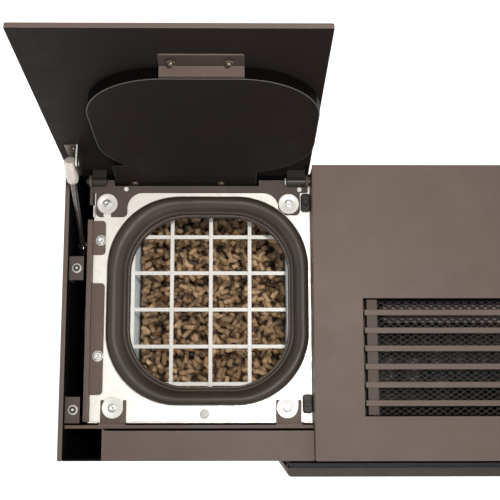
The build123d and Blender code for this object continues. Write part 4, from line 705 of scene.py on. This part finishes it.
def gasket_point(station, across, height):
    """A point of the gasket, moved a little by slow noise."""
    out, inner = GASKET_OUT[station], GASKET_IN[station]
    drift = noise.noise(out * 0.021 + Vector((3.1, 0, 0)))
    sag = noise.noise(out * 0.035 + Vector((0, 7.7, 0)))
    share = across + 0.055 * drift * math.sin(math.pi * min(1.0, across * 1.15))
    spot = out.lerp(inner, max(0.0, min(1.0, share)))
    return at(spot.x, spot.y, DECK + height * (1 + (0.035 * sag if height > 0.2 else 0.0)))


bm = bmesh.new()
loops = [[bm.verts.new(gasket_point(s, u, h)) for u, h in PROFILE] for s in range(len(GASKET_OUT))]
join_rings(bm, loops + loops[:1])
gasket = new_piece("gasket_bulb", bm, [rubber], "cabinet", "hopper_gasket", 60)
print("gasket faces", len(gasket.data.polygons))

# %% Sewn edge of the lip
bm = bmesh.new()
lip = [gasket_point(s, 0.945, 4.3) for s in range(len(GASKET_OUT))]
lengths = [(lip[(i + 1) % len(lip)] - lip[i]).length for i in range(len(lip))]
STITCH = 0.0026
walked, segment, beads = 0.0, 0, int(sum(lengths) / STITCH)
for bead in range(beads):
    goal = sum(lengths) * bead / beads
    while walked + lengths[segment] < goal:
        walked += lengths[segment]
        segment += 1
    a, b = lip[segment], lip[(segment + 1) % len(lip)]
    spot = a.lerp(b, (goal - walked) / lengths[segment])
    turn = (b - a).to_track_quat("Z", "Y").to_matrix().to_4x4()
    turned(bm, [(0.12, -0.85), (0.36, -0.5), (0.42, 0.0), (0.36, 0.5), (0.12, 0.85)],
        Matrix.Translation(spot) @ turn, 8)
new_piece("gasket_stitches", bm, [thread], "cabinet")
print("stitches", beads)

# %% [markdown]
# ## Wood pellets
# The heap is what the eye goes to. Pellets are pressed wood rods about 6 mm thick, here 6 to 20 mm long,
# with broken ends and a scored skin. Dropping two thousand of them in a physics run would be slow, so
# layers are laid at seeded random places and angles on an uneven heap, deepest first, and painted shade
# makes the deeper layers darker. Each rod stores its tone and its painted shade in a colour attribute.

# %% Pellet finish
pellet_wood, tree, shader = new_material("pressed wood pellets")
own = add(tree, "ShaderNodeAttribute", attribute_name="tone")
tones = add(tree, "ShaderNodeSeparateColor", {0: own.outputs["Color"]}).outputs
base = mixed(tree, tones[0], (0.260, 0.135, 0.058, 1), (0.980, 0.660, 0.370, 1))
fibre = noise_at(tree, own_place(tree), 700.0, 6.0, 0.8, 1.0)
base = vector_sum(tree, "MULTIPLY", base, ranged(tree, fibre, 0.35, 0.65, 0.62, 1.25))
# The tone attribute's second channel is painted shade for depth, and also darkens ends and some rods; it
# mixes the wood towards near-black.
dark = sum_of(tree, "MULTIPLY", tones[1], 0.95)
fill(tree, shader, {"Base Color": mixed(tree, dark, base, (0.018, 0.009, 0.004, 1)),
    "Roughness": ranged(tree, fibre, 0.3, 0.7, 0.34, 0.62),
    "Normal": bumped(tree, fibre, 0.5, 0.0004)})
print(pellet_wood.name)

# %% The heap's surface and one rod
BIN, BIN_WIDTH, BIN_DEPTH = (62.8, 235.2, 60.8, 281.2), 172.4, 220.4


def heap_height(x, y):
    """Height of the heap's surface in stove millimetres."""
    slow = noise.noise(Vector((x * 0.016, y * 0.016, 1.3)))
    banked = 26.0 * max(0.0, (104.0 - x) / 41.0) ** 1.4
    return TOP - 179.5 + 5.0 * slow + 0.02 * (y - 170) + banked


def pellet(verts, faces, tones, place, radius, half, shade, dice):
    """One rod with broken ends, darkened by painted shade where it lies deep."""
    sides, first = 10, len(verts)
    rings = [(0.78, -half), (1.0, -half + 0.7), (1.0, half - 0.7), (0.78, half)]
    lean = [Vector((dice.uniform(-0.25, 0.25), dice.uniform(-0.25, 0.25), 0)) for _ in range(2)]
    tone, crack = dice.betavariate(2.2, 2.6), dice.random()
    for index, (share, height) in enumerate(rings):
        tilt = lean[0] if index < 2 else lean[1]
        for i in range(sides):
            angle = math.tau * i / sides
            reach = radius * share * (1 + dice.uniform(-0.05, 0.05))
            x, y = reach * math.cos(angle), reach * math.sin(angle)
            rough = dice.uniform(-0.5, 0.5) if index in (0, 3) else 0.0
            verts.append(place @ (Vector((x, y, height + tilt.x * x + tilt.y * y + rough)) / 1000))
            tones.append((tone, max(shade, 0.45) if index in (0, 3) else max(shade, 0.2 * crack), 0.0, 1.0))
    for k in range(3):
        for i in range(sides):
            j = (i + 1) % sides
            low, high = first + k * sides, first + (k + 1) * sides
            faces.append((low + i, low + j, high + j, high + i))
    faces.append(tuple(reversed(range(first, first + sides))))
    faces.append(tuple(range(first + 3 * sides, first + 4 * sides)))


print("bin", BIN, "heap at its middle", round(heap_height(149, 171), 1))

# %% Lay the pellets
LEFT, ACROSS, FRONT, DEEP = 64, 170, 62, 218
# Each layer: how many rods, how far below the heap's surface, and its painted shade, darkest deepest.
LAYERS = ((560, -11.0, 0.96), (620, -6.0, 0.86), (540, -0.8, 0.48), (360, 4.2, 0.0))
dice = random.Random(41)
verts, faces, tones = [], [], []
for count, depth, shade in LAYERS:
    columns = int(math.sqrt(count * 174 / 222))
    rows = count // columns
    for column in range(columns):
        for row in range(rows):
            x = LEFT + (column + dice.uniform(0.0, 1.0)) * ACROSS / columns
            y = FRONT + (row + dice.uniform(0.0, 1.0)) * DEEP / rows
            half = min(10.0, max(3.2, dice.gauss(4.8, 1.6)))
            yaw, pitch = dice.uniform(0, math.tau), dice.gauss(0, 0.50)
            reach_x = abs(math.cos(yaw)) * half + 3.2
            reach_y = abs(math.sin(yaw)) * half + 3.2
            x = min(max(x, BIN[0] + reach_x), BIN[1] - reach_x)
            y = min(max(y, BIN[2] + reach_y), BIN[3] - reach_y)
            z = heap_height(x, y) + depth + dice.uniform(-2.4, 1.6)
            direction = (math.cos(yaw) * math.cos(pitch), math.sin(yaw) * math.cos(pitch), math.sin(pitch))
            pellet(verts, faces, tones, pointing(x, y, z, direction, dice.uniform(0, 1)),
                dice.uniform(2.65, 3.0), half, shade, dice)
mesh = bpy.data.meshes.new("pellets")
mesh.from_pydata(verts, [], faces)
attribute = mesh.color_attributes.new("tone", "FLOAT_COLOR", "POINT")
attribute.data.foreach_set("color", [c for t in tones for c in t])
mesh.shade_smooth()
mesh.set_sharp_from_angle(angle=math.radians(50))
mesh.materials.append(pellet_wood)
pellets = put("pellets", mesh)
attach(pellets, "cabinet")
print("pellets", len(verts) // 40, "faces", len(faces))

# %% [markdown]
# Below the visible layers the heap is one body down to the funnel, coloured nearly black with painted
# shade: a lumpy sheet joined to walls that follow the bin, so no light falls through the gaps between rods.

# %% Body of the heap
bm = bmesh.new()
NX, NY, SUNK = 30, 38, 12.0
SPOUT = (151.6, 188.4, 141.6, 178.4)


def heap_vert(i, j):
    """A point of the lumpy sheet under the rods."""
    x, y = BIN[0] + BIN_WIDTH * i / NX, BIN[2] + BIN_DEPTH * j / NY
    lump = 1.5 * noise.noise(Vector((i * 0.9, j * 0.9, 0)))
    return bm.verts.new(at(x, y, heap_height(x, y) - SUNK + lump))


sheet = [[heap_vert(i, j) for j in range(NY + 1)] for i in range(NX + 1)]
for i in range(NX):
    for j in range(NY):
        bm.faces.new((sheet[i][j], sheet[i + 1][j], sheet[i + 1][j + 1], sheet[i][j + 1]))
rim = [sheet[i][0] for i in range(NX)] + [sheet[NX][j] for j in range(NY)]
rim += [sheet[i][NY] for i in range(NX, 0, -1)] + [sheet[0][j] for j in range(NY, 0, -1)]
levels = [rim]
for level, box in ((TOP - 320.0, BIN), (641.0, SPOUT)):
    lower = []
    for vert in levels[-1]:
        spot = from_metres(vert.co)
        across, along = (spot.x - BIN[0]) / BIN_WIDTH, (spot.y - BIN[2]) / BIN_DEPTH
        lower.append(bm.verts.new(at(box[0] + (box[1] - box[0]) * across,
            box[2] + (box[3] - box[2]) * along, level)))
    levels.append(lower)
join_rings(bm, levels)
bm.faces.new(levels[-1])
heap_body = new_piece("pellet_heap_body", bm, [pellet_wood], "cabinet", "pellet_fill", 60)
# The body's tone attribute is nearly all painted shade, so it shows almost black.
heap_body.data.color_attributes.new("tone", "FLOAT_COLOR", "POINT").data.foreach_set(
    "color", [c for _ in heap_body.data.vertices for c in (0.05, 0.9, 0.0, 1.0)])
print("heap body faces", len(heap_body.data.polygons))

# %% [markdown]
# ## Safety grid
# Flat white-coated bars keep hands off the auger. They are spot-welded where they cross, so every
# crossing has a small flat nugget. The CAD bars are dressed, and the nuggets are turned discs.

# %% Grid bars and weld nuggets
GRID_LEFT, GRID_FRONT, PITCH_X, PITCH_Y = 64.8, 77.1, 42.1, 39.85
dress("pellet_grid", white_coat, 0.5, segments=3)
bm = bmesh.new()
for column in range(5):
    for row in range(6):
        x, y = GRID_LEFT + PITCH_X * column, GRID_FRONT + PITCH_Y * row
        if 62 < x - 1.6 and x + 1.6 < 236:
            turned(bm, [(1.5, 0.0), (1.35, 0.16), (0.8, 0.22)], standing(x, y, TOP - 68.0), 16)
new_piece("grid_weld_nuggets", bm, [white_coat], "cabinet")
print("grid dressed")

# %% [markdown]
# ## Screws and washers on the deck
# Four penny washers clamp the deck, each with a socket-head screw. Pan-head screws hold the left
# rail's tabs, and others the brackets in the side cavity. They are the brightest things near the
# gasket, so each is turned from rings, with a hexagon where the key goes.

# %% Deck hardware
SEAT = DECK + 1.5


def key_screw(bm, place, head, height, key, material=0):
    """A round screw head with a hexagon socket; its place is the seat."""
    turned(bm, [(head * 0.97, 0.0), (head, height * 0.35), (head * 0.93, height * 0.72),
        (head * 0.79, height * 0.94), (key * 1.22, height), (key * 1.12, height * 0.98, 6),
        (key, height * 0.9, 6), (key * 0.98, height * 0.45, 6),
        (key * 0.5, height * 0.36, 6)], place, 36, material)


bm = bmesh.new()
for x, y in ((41.0, 264.0), (232.0, 264.0), (51.0, 52.0), (229.0, 52.0)):
    turned(bm, [(10.55, 0.0), (10.8, 0.3), (10.8, 1.25), (10.45, 1.6), (7.0, 1.6), (6.6, 1.45),
        (4.6, 1.4)], standing(x, y, SEAT), 48)
    turned(bm, [(4.9, 1.35), (5.0, 1.7), (4.8, 2.0)], standing(x, y, SEAT), 36)
    key_screw(bm, standing(x, y, SEAT + 1.9), 4.2, 2.4, 1.9, 2)
for x, y in ((35.4, 225.0), (34.8, 104.5)):
    turned(bm, [(5.5, 0.0), (5.6, 0.25), (5.3, 0.6)], standing(x, y, SEAT), 36)
    key_screw(bm, standing(x, y, SEAT + 0.4), 4.6, 2.5, 1.7, 2)
for y in (193.8, 50.1):
    turned(bm, [(5.0, 0.0), (5.0, 0.5), (4.7, 1.3), (4.1, 1.7), (3.7, 1.4)],
        standing(13.0, y, TOP - 14.0), 36)
    key_screw(bm, standing(13.0, y, TOP - 12.7), 3.5, 1.2, 1.9, 1)
    turned(bm, [(1.4, 0.0, 6), (1.35, 0.25, 6)], standing(13.0, y, TOP - 12.2), 24)
new_piece("deck_hardware", bm, [bright_zinc, blackened, turned_steel], "cabinet",
    "deck_fasteners", 28)
print("deck hardware turned")

# %% Small screws of the deck
bm = bmesh.new()
for x, y in ((60.5, 280.0), (243.5, 279.5)):
    key_screw(bm, standing(x, y, SEAT), 2.6, 1.6, 1.1)
for y in (264.8, 56.1):
    key_screw(bm, standing(249.7, y, DECK + 5.6), 3.0, 2.8, 1.45, 1)
new_piece("small_deck_screws", bm, [bright_zinc, blackened], "cabinet", sharp=28)
print("small screws turned")

# %% [markdown]
# ## Hot-air grille
# Bars lie on two rails above expanded metal with diamond openings 8.7 mm wide in staggered rows 2.8
# mm apart. A texture would look flat in slanting light, so each opening is modelled: a diamond cell
# on the strands' ridge slopes down to a smaller hole, with the sheet's thickness below.

# %% Expanded metal
mesh_black = coated("dark expanded metal", (0.044, 0.039, 0.036), (0.034, 0.030, 0.028), 0.5, 0.2, 900.0,
    0.05, worn=(0.14, 0.12, 0.11), wear=0.5, dust=0.06)
HALF_X, HALF_Y = 4.33, 2.77
HOLE_X, HOLE_Y = 2.8, 1.7
X0, X1, Y0, Y1 = 305.4, 624.6, 43.9, 160.6
RIDGE, BRIM, UNDER = -20.05, -20.55, -21.15
bm = bmesh.new()
shared = {}


def mesh_vert(x, y, z):
    """A point of the sheet, shared by the cells that meet there."""
    key = (round(x, 2), round(y, 2), round(z, 2))
    if key not in shared:
        shared[key] = bm.verts.new(at(min(max(x, X0), X1), min(max(y, Y0), Y1), TOP + z))
    return shared[key]


rows = int((Y1 - Y0) / HALF_Y) - 1
columns = int((X1 - X0 - 26) / (2 * HALF_X))
left = (X0 + X1) / 2 - columns * HALF_X
for row in range(rows + 1):
    cy = (Y0 + Y1) / 2 + (row - rows / 2) * HALF_Y
    for column in range(columns + (row % 2)):
        cx = left + (2 * column + 1 - row % 2) * HALF_X
        edge_points, hole_points = [], []
        for k in range(8):
            angle = math.tau * k / 8
            c, s = math.cos(angle), math.sin(angle)
            reach = 1 / (abs(c) / HALF_X + abs(s) / HALF_Y)
            blunt = 0.86 if k % 2 else 1
            edge_points.append((cx + reach * c, cy + reach * s))
            hole_points.append((cx + HOLE_X * c * blunt, cy + HOLE_Y * s * blunt))
        ridge = [mesh_vert(x, y, RIDGE) for x, y in edge_points]
        brim = [mesh_vert(x, y, BRIM) for x, y in hole_points]
        under = [mesh_vert(x, y, UNDER) for x, y in hole_points]
        for k in range(8):
            n = (k + 1) % 8
            for quad in ((ridge[k], ridge[n], brim[n], brim[k]), (brim[k], brim[n], under[n], under[k])):
                if len(set(quad)) == 4:
                    bm.faces.new(quad)
margin = left - HALF_X + 0.4
block(bm, (X0, Y0, TOP - 21.1), (margin + 4.4, Y1, TOP - 20.2), 0.2)
block(bm, (WIDTH - margin - 4.4, Y0, TOP - 21.1), (X1, Y1, TOP - 20.2), 0.2)
expanded = new_piece("expanded_metal", bm, [mesh_black], "cabinet", "grille_mesh", 80)
print("faces of the grille's mesh", len(expanded.data.polygons))

# %% Grille bars
# Faces below the bars' tops, the rails among them, get the darker taupe copy: painted shade.
dress("grille_bars", taupe, 0.45, taupe_painted_shade, lambda p, n: p.z < TOP - 2.9)
print("grille ready")

# %% [markdown]
# ## Lid
# The lid is one thick folded plate, taupe outside and near-black inside. A pressed plate on its
# inner face closes on the gasket, and the Z bracket at its front edge holds two studs. These nodes
# have the right shape and are dressed; the nuts are turned again, because a chamfered hexagon and a
# thread read as metal only when their edges catch the light.

# %% Lid plates and bracket
dress("lid_plate", taupe, 0.7, night_coat, lambda p, n: n.y < -0.7)
# Full edge wear on the pressed plate makes a light rim line: partly wear, partly a painted highlight.
pan_coat = coated("near-black coat, worn edge with painted highlight", *NEAR_BLACK, worn=(0.34, 0.30, 0.27), wear=1.0,
    soft=0.0011)
# The pressed pan's upward-facing wall is near-black: painted shade that hides the light falling on it.
pan_wall_painted_shade = coated("pan wall, painted shade", (0.0030, 0.0026, 0.0023), (0.0024, 0.0021, 0.0019), 0.75, 0.02,
    *SATIN)
dress("inner_lid_plate", pan_coat, 0.6, pan_wall_painted_shade, lambda p, n: n.z > 0.35)
dress("hinge_barrels", tube_black, 0.3)
# Faces of the bracket that don't look up get the darkest taupe copy, painted shade; upward faces stay
# taupe.
dress("lid_tab_bracket", taupe_dim, 0.35, taupe, lambda p, n: n.z > 0.5)
print("lid dressed")

# %% Where a point of the lid is when it stands open
LID_TURN = math.radians(-98.0)
HINGE = (286.0, 1103.0)


def on_lid(x, y, z):
    """Where a point of the closed lid is when the lid stands open, as x, y, z on the stove."""
    dy, dz = y - HINGE[0], z - HINGE[1]
    return (x, HINGE[0] + dy * math.cos(LID_TURN) - dz * math.sin(LID_TURN),
        HINGE[1] + dy * math.sin(LID_TURN) + dz * math.cos(LID_TURN))


OUT_OF_LID = (0.0, math.sin(LID_TURN), -math.cos(LID_TURN))
print("the lid's front edge stands at", [round(v, 1) for v in on_lid(130, 0, TOP)])

# %% Rim of the pressed plate: worn coat with a painted highlight
def sideways(line, index):
    """The direction across a closed line, at one of its points."""
    step = line[(index + 1) % len(line)] - line[index - 1]
    return Vector((step.y, -step.x, 0)).normalized()


RIM_RADIUS, RIM_SIDES = 0.6, 8
# The rim tube's light coat is partly wear and partly a painted highlight along the pan's edge.
rim_coat = coated("rim coat, worn with painted highlight", (0.150, 0.132, 0.120), (0.100, 0.088, 0.080), 0.5, 0.2, *SATIN)
bm = bmesh.new()
edge_line = outline((44.8, 251.2, 61.8, 264.2), 71.2, 14, 24)
loops = []
for index, spot in enumerate(edge_line):
    loop = []
    for k in range(RIM_SIDES):
        angle = math.tau * k / RIM_SIDES
        flat = spot + sideways(edge_line, index) * RIM_RADIUS * math.cos(angle)
        height = TOP - 15.4 + RIM_RADIUS * math.sin(angle)
        loop.append(bm.verts.new(at(*on_lid(flat.x, flat.y, height))))
    loops.append(loop)
join_rings(bm, loops + loops[:1])
new_piece("pressed_plate_rim", bm, [rim_coat], "lid", sharp=70)
print("rim stations", len(loops))

# %% Nuts and bolts on the open lid
bm = bmesh.new()
for x in (124.6, 171.9):
    place = pointing(*on_lid(x, 46.5, TOP - 6.5), OUT_OF_LID, 0.3)
    turned(bm, [(3.6, 0.0, 6), (4.04, 0.5, 6), (4.04, 2.6, 6), (3.5, 3.2, 6), (2.3, 3.2), (2.15, 2.9)],
        place, 36)
    ridges = [(2.0 - 0.12 * (k % 2), 0.4 + 0.28 * k) for k in range(18)]
    turned(bm, ridges + [(1.5, 5.45)], place, 24)
new_piece("lid_nuts", bm, [bronze_nut], "lid", "lid_fasteners", 30)
bm = bmesh.new()
for x in (70.0, 161.0):
    turned(bm, [(3.95, 0.0), (4.0, 0.4), (3.7, 1.3), (2.9, 1.85), (1.7, 2.0), (1.5, 1.95, 6),
        (1.45, 0.9, 6)], pointing(*on_lid(x, 293.0, TOP - 16.0), OUT_OF_LID), 36)
new_piece("flange_bolts", bm, [bronze_nut], "lid", sharp=30)
print("lid fasteners turned")

# %% Blackened hinge pins and a bright end ring
dress("hinge_pins", blackened, 0.25)
bm = bmesh.new()
turned(bm, [(2.7, 0.0), (3.7, 0.1), (3.9, 0.35), (3.9, 0.75), (3.7, 1.0), (2.7, 1.1)],
    pointing(227.6, *HINGE, (1, 0, 0)), 32)
new_piece("hinge_rings", bm, [bright_zinc], "cabinet", sharp=30)
print("hinge ring turned")

# %% [markdown]
# ## Gas strut
# A painted cylinder, a polished rod and a die-cast ball socket hold the lid. The photograph shows
# the socket as a pale knuckle with a lighter ring, held by a wire clip. Cylinder and rod are
# dressed; the socket is turned along the strut's own line, with the waists and collars that a plain
# tube lacks.

# %% Cylinder, rod and socket
STRUT_FOOT = (12.8, 150.0, 979.0)
STRUT_ANGLE = math.radians(51.9424728)
STRUT_LENGTH = 228.4408
socket_place = (pointing(*STRUT_FOOT, (0.0, math.cos(STRUT_ANGLE), math.sin(STRUT_ANGLE)))
    @ Matrix.Translation((0, 0, mm(STRUT_LENGTH - 23.7))))
print("strut body", body_of["strut_cylinder"], "rod body", body_of["strut_rod"])
dress("strut_cylinder", strut_paint, 0.35, segments=3)
dress("strut_rod", rod_steel, 0.2)
dress("strut_lower_bracket", bright_zinc, 0.3)
bm = bmesh.new()
turned(bm, [(3.2, 0.0), (4.4, 0.4), (5.3, 1.5), (5.9, 3.4), (6.1, 5.6), (6.2, 9.0), (6.2, 19.6),
    (6.2, 21.6), (5.8, 22.1), (5.8, 23.3), (6.25, 23.8), (6.25, 25.2), (5.9, 25.8),
    (5.9, 26.6), (5.4, 27.6), (3.6, 28.15)], socket_place, 40)
new_piece("strut_socket", bm, [cast_zinc], body_of["strut_upper_socket"], "strut_upper_socket", 40)
bm = bmesh.new()
turned(bm, [(5.85, 22.15), (6.2, 22.35), (6.24, 22.7), (6.2, 23.05), (5.85, 23.25)], socket_place, 40)
new_piece("strut_socket_clip", bm, [bright_zinc], body_of["strut_upper_socket"], sharp=30)
print("strut", round(STRUT_LENGTH, 1), "mm from pivot to ball")

# %% Bracket on the lid
# The bracket's upward faces get the bright plated colour, a painted highlight; the rest is dark bronze.
dress("strut_lid_bracket", bronze_nut, 0.3, bright_zinc, lambda p, n: n.z > 0.6 and p.x > 18.0)
bm = bmesh.new()
turned(bm, [(3.0, -0.1), (3.75, 0.0, 6), (3.95, 0.08, 6), (3.6, 0.28, 6), (2.0, 0.29)],
    pointing(*on_lid(21.5, 230.0, TOP - 20.0), (1, 0, 0)), 36)
turned(bm, [(3.5, 0.0), (3.6, 0.4), (3.2, 1.5), (2.2, 1.95), (1.5, 2.0), (1.3, 1.9, 6), (1.25, 0.9, 6)],
    pointing(*on_lid(15.3, 227.7, TOP - 6.5), OUT_OF_LID), 32)
new_piece("strut_bracket_nut", bm, [bronze_nut], "lid", sharp=30)
print("lid bracket done")

# %% [markdown]
# ## Fire door
# Behind its cladding the door is a cast frame with a pane of glass ceramic and a ring of braided
# glass-fibre rope. The rope is modelled: one section is carried round the frame, and two sets of
# slanting ridges cross on it as in a braid. The glass is dark and lets part of the view through by
# its Alpha, less where it is sooty, without the noise of light bent by two glass faces.

# %% Door finishes
cast_iron = coated("cast iron, black", (0.020, 0.019, 0.018), (0.014, 0.0135, 0.013), 0.62, 0.25, 420.0,
    0.16, worn=(0.10, 0.09, 0.085), wear=0.5)
rope_grey = coated("braided rope", (0.095, 0.092, 0.088), (0.055, 0.053, 0.051), 0.85, 0.15, 1400.0, 0.3)
pane, tree, shader = new_material("glass ceramic")
texture = place_group(tree, coat_grain, Grain_Scale=300.0, Cloud_Scale=7.0)
soot = ranged(tree, texture["Cloud"], 0.35, 0.72)
fill(tree, shader, {"Base Color": mixed(tree, soot, (0.016, 0.015, 0.014, 1), (0.030, 0.026, 0.022, 1)),
    "Roughness": ranged(tree, texture["Streak"], 0.3, 0.7, 0.03, 0.10),
    "Alpha": ranged(tree, soot, 0.0, 1.0, 0.34, 0.52)})
print(cast_iron.name, rope_grey.name, pane.name)

# %% Door pieces
dress("door_cladding", door_coat, 0.8, night_coat, lambda p, n: n.y > 0.5)
dress("door_frame", cast_iron, 0.5)
carry("door_glass", pane)
dress("door_handle", turned_steel, 0.7, black_plastic, lambda p, n: p.y < -19.0 and p.z < 770, 3)
print("door dressed")

# %% Braided rope in its groove
ROPE_SIDES, GROOVE_MARGIN = 14, 4
lowest, highest = (from_metres(corner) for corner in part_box("door_gasket"))
line = outline((lowest.x + GROOVE_MARGIN, highest.x - GROOVE_MARGIN,
    lowest.z + GROOVE_MARGIN, highest.z - GROOVE_MARGIN), 9.0, 150, 8)
travelled, bm, loops = 0.0, bmesh.new(), []
for index, spot in enumerate(line):
    side = sideways(line, index)
    travelled += (spot - line[index - 1]).length if index else 0.0
    loop = []
    for k in range(ROPE_SIDES):
        angle = math.tau * k / ROPE_SIDES
        twist = travelled * 0.42
        ridge = max(abs(math.sin(angle * 2 + twist)), abs(math.sin(angle * 2 - twist)))
        reach = 0.80 + 0.16 * ridge
        flat = spot + side * 3.85 * reach * math.cos(angle)
        loop.append(bm.verts.new(at(flat.x, -2.7 + 2.3 * reach * math.sin(angle), flat.y)))
    loops.append(loop)
join_rings(bm, loops + loops[:1])
new_piece("door_rope", bm, [rope_grey], body_of["door_gasket"], "door_gasket", 80)
print("rope stations", len(loops))

# %% [markdown]
# ## Fire side
# What carries heat is steel plate turned brown and blue-grey, a moulded fireback of pale
# refractory, and a cast burn pot. They show through the glass and past the open door, so they get
# soot and coarse grain. The ash drawer's front is coated like the door.

# %% Fire chamber, pot and drawer
fire_plate = bare_metal("heated steel plate", (0.12, 0.105, 0.095), (0.065, 0.060, 0.060), 0.5, 0.2,
    40.0, (30.0, 30.0, 30.0), 0.25, 0.8, 0.12)
refractory = coated("pale refractory", (0.42, 0.35, 0.27), (0.30, 0.25, 0.19), 0.85, 0.15, 260.0, 0.35,
    worn=(0.10, 0.085, 0.07), wear=0.5, dust=0.25)
dress("fire_chamber", fire_plate, 0.0)
dress("firebox_lining", refractory, 1.2, segments=3)
dress("burn_pot", cast_iron, 0.6)
dress("ash_drawer", door_coat, 0.6, fire_plate, lambda p, n: p.y > -2.2)
dress("pellet_chute", fire_plate, 0.3)
dress("igniter", turned_steel, 0.3)
print("fire side dressed")

# %% [markdown]
# ## Feed, air and base
# The auger with its gear motor, the smoke fan and the room-air blower show from behind or through
# openings. Sheet housings are galvanised, and screws, wheels and motors mill-finish steel. The
# levelling feet have steel stems in black pads.

# %% Feed, fans and feet
inner_steel = bare_metal("mill-finish steel", (0.36, 0.35, 0.34), (0.27, 0.265, 0.26), 0.36, 0.14, 240.0,
    (300.0, 300.0, 8.0), 0.15, 0.9)
dress("auger_tube", zinc_inside, 0.0)
dress_all(inner_steel, auger_screw=0.0, auger_gearmotor=0.6)
dress_all(zinc_inside, smoke_fan_housing=0.3, air_intake_pipe=0.3, convection_blower=0.4)
carry("smoke_fan_impeller convection_impeller", inner_steel)
dress("adjustable_feet", turned_steel, 0.6, black_plastic, lambda p, n: p.z < 8.5)
print("feed, fans and feet dressed")

# %% [markdown]
# ## Electric pieces
# A circuit board behind the right side panel runs the stove. The display is a gloss black strip on
# the top panel with a few plain marks, thinner than paint. Inlet, rocker switch and reset button
# are moulded plastic, and pan-head screws hold the rear panel.

# %% Board, display and rear pieces
lit_amber = coated("lit amber marks", (0.75, 0.36, 0.08), (0.60, 0.28, 0.06), 0.4, 0.3, 900.0, 0.02)
switch_red = coated("red rocker", (0.34, 0.012, 0.010), (0.26, 0.010, 0.008), 0.3, 0.5, 900.0, 0.04,
    worn=(0.5, 0.2, 0.18), wear=0.2)
dress("control_board", board_green, 0.3, black_plastic, lambda p, n: p.x < 909.0)
dress("display_panel", panel_black, 0.0)
dress("power_inlet", black_plastic, 0.4)
dress("power_switch", switch_red, 0.5)
dress("reset_button", black_plastic, 0.3)
bm = bmesh.new()
for index, x in enumerate((752, 766, 812, 826, 840)):
    corners = (3,) if index in (0, 1, 3) else ()
    turned(bm, [(2.4, 0.0, *corners), (2.4, 0.03, *corners)], standing(x, 87, TOP + 2.2), 24)
new_piece("touch_marks", bm, [mark_white], "cabinet", sharp=30)
bm = bmesh.new()
for step in range(5):
    block(bm, (778 + 5 * step, 85.6, TOP + 2.19), (781.6 + 5 * step, 88.4, TOP + 2.24), 0.01)
new_piece("heat_level", bm, [lit_amber], "cabinet", sharp=30)
print("display marked")

# %% Screws of the rear panel
bm = bmesh.new()
for x in (12.0, 465.0, 918.0):
    for z in (60.0, 560.0, 1090.0):
        turned(bm, [(3.4, 0.0), (3.5, 0.3), (3.2, 1.1), (2.4, 1.6), (1.5, 1.75), (1.3, 1.65, 6),
            (1.2, 0.7, 6)], pointing(x, 300.0, z, (0, 1, 0)), 30)
new_piece("rear_panel_screws", bm, [bright_zinc], "cabinet", sharp=30)
print("rear panel screwed on")

# %% [markdown]
# ## End of the scene

# %% End of the scene
print("scene built")
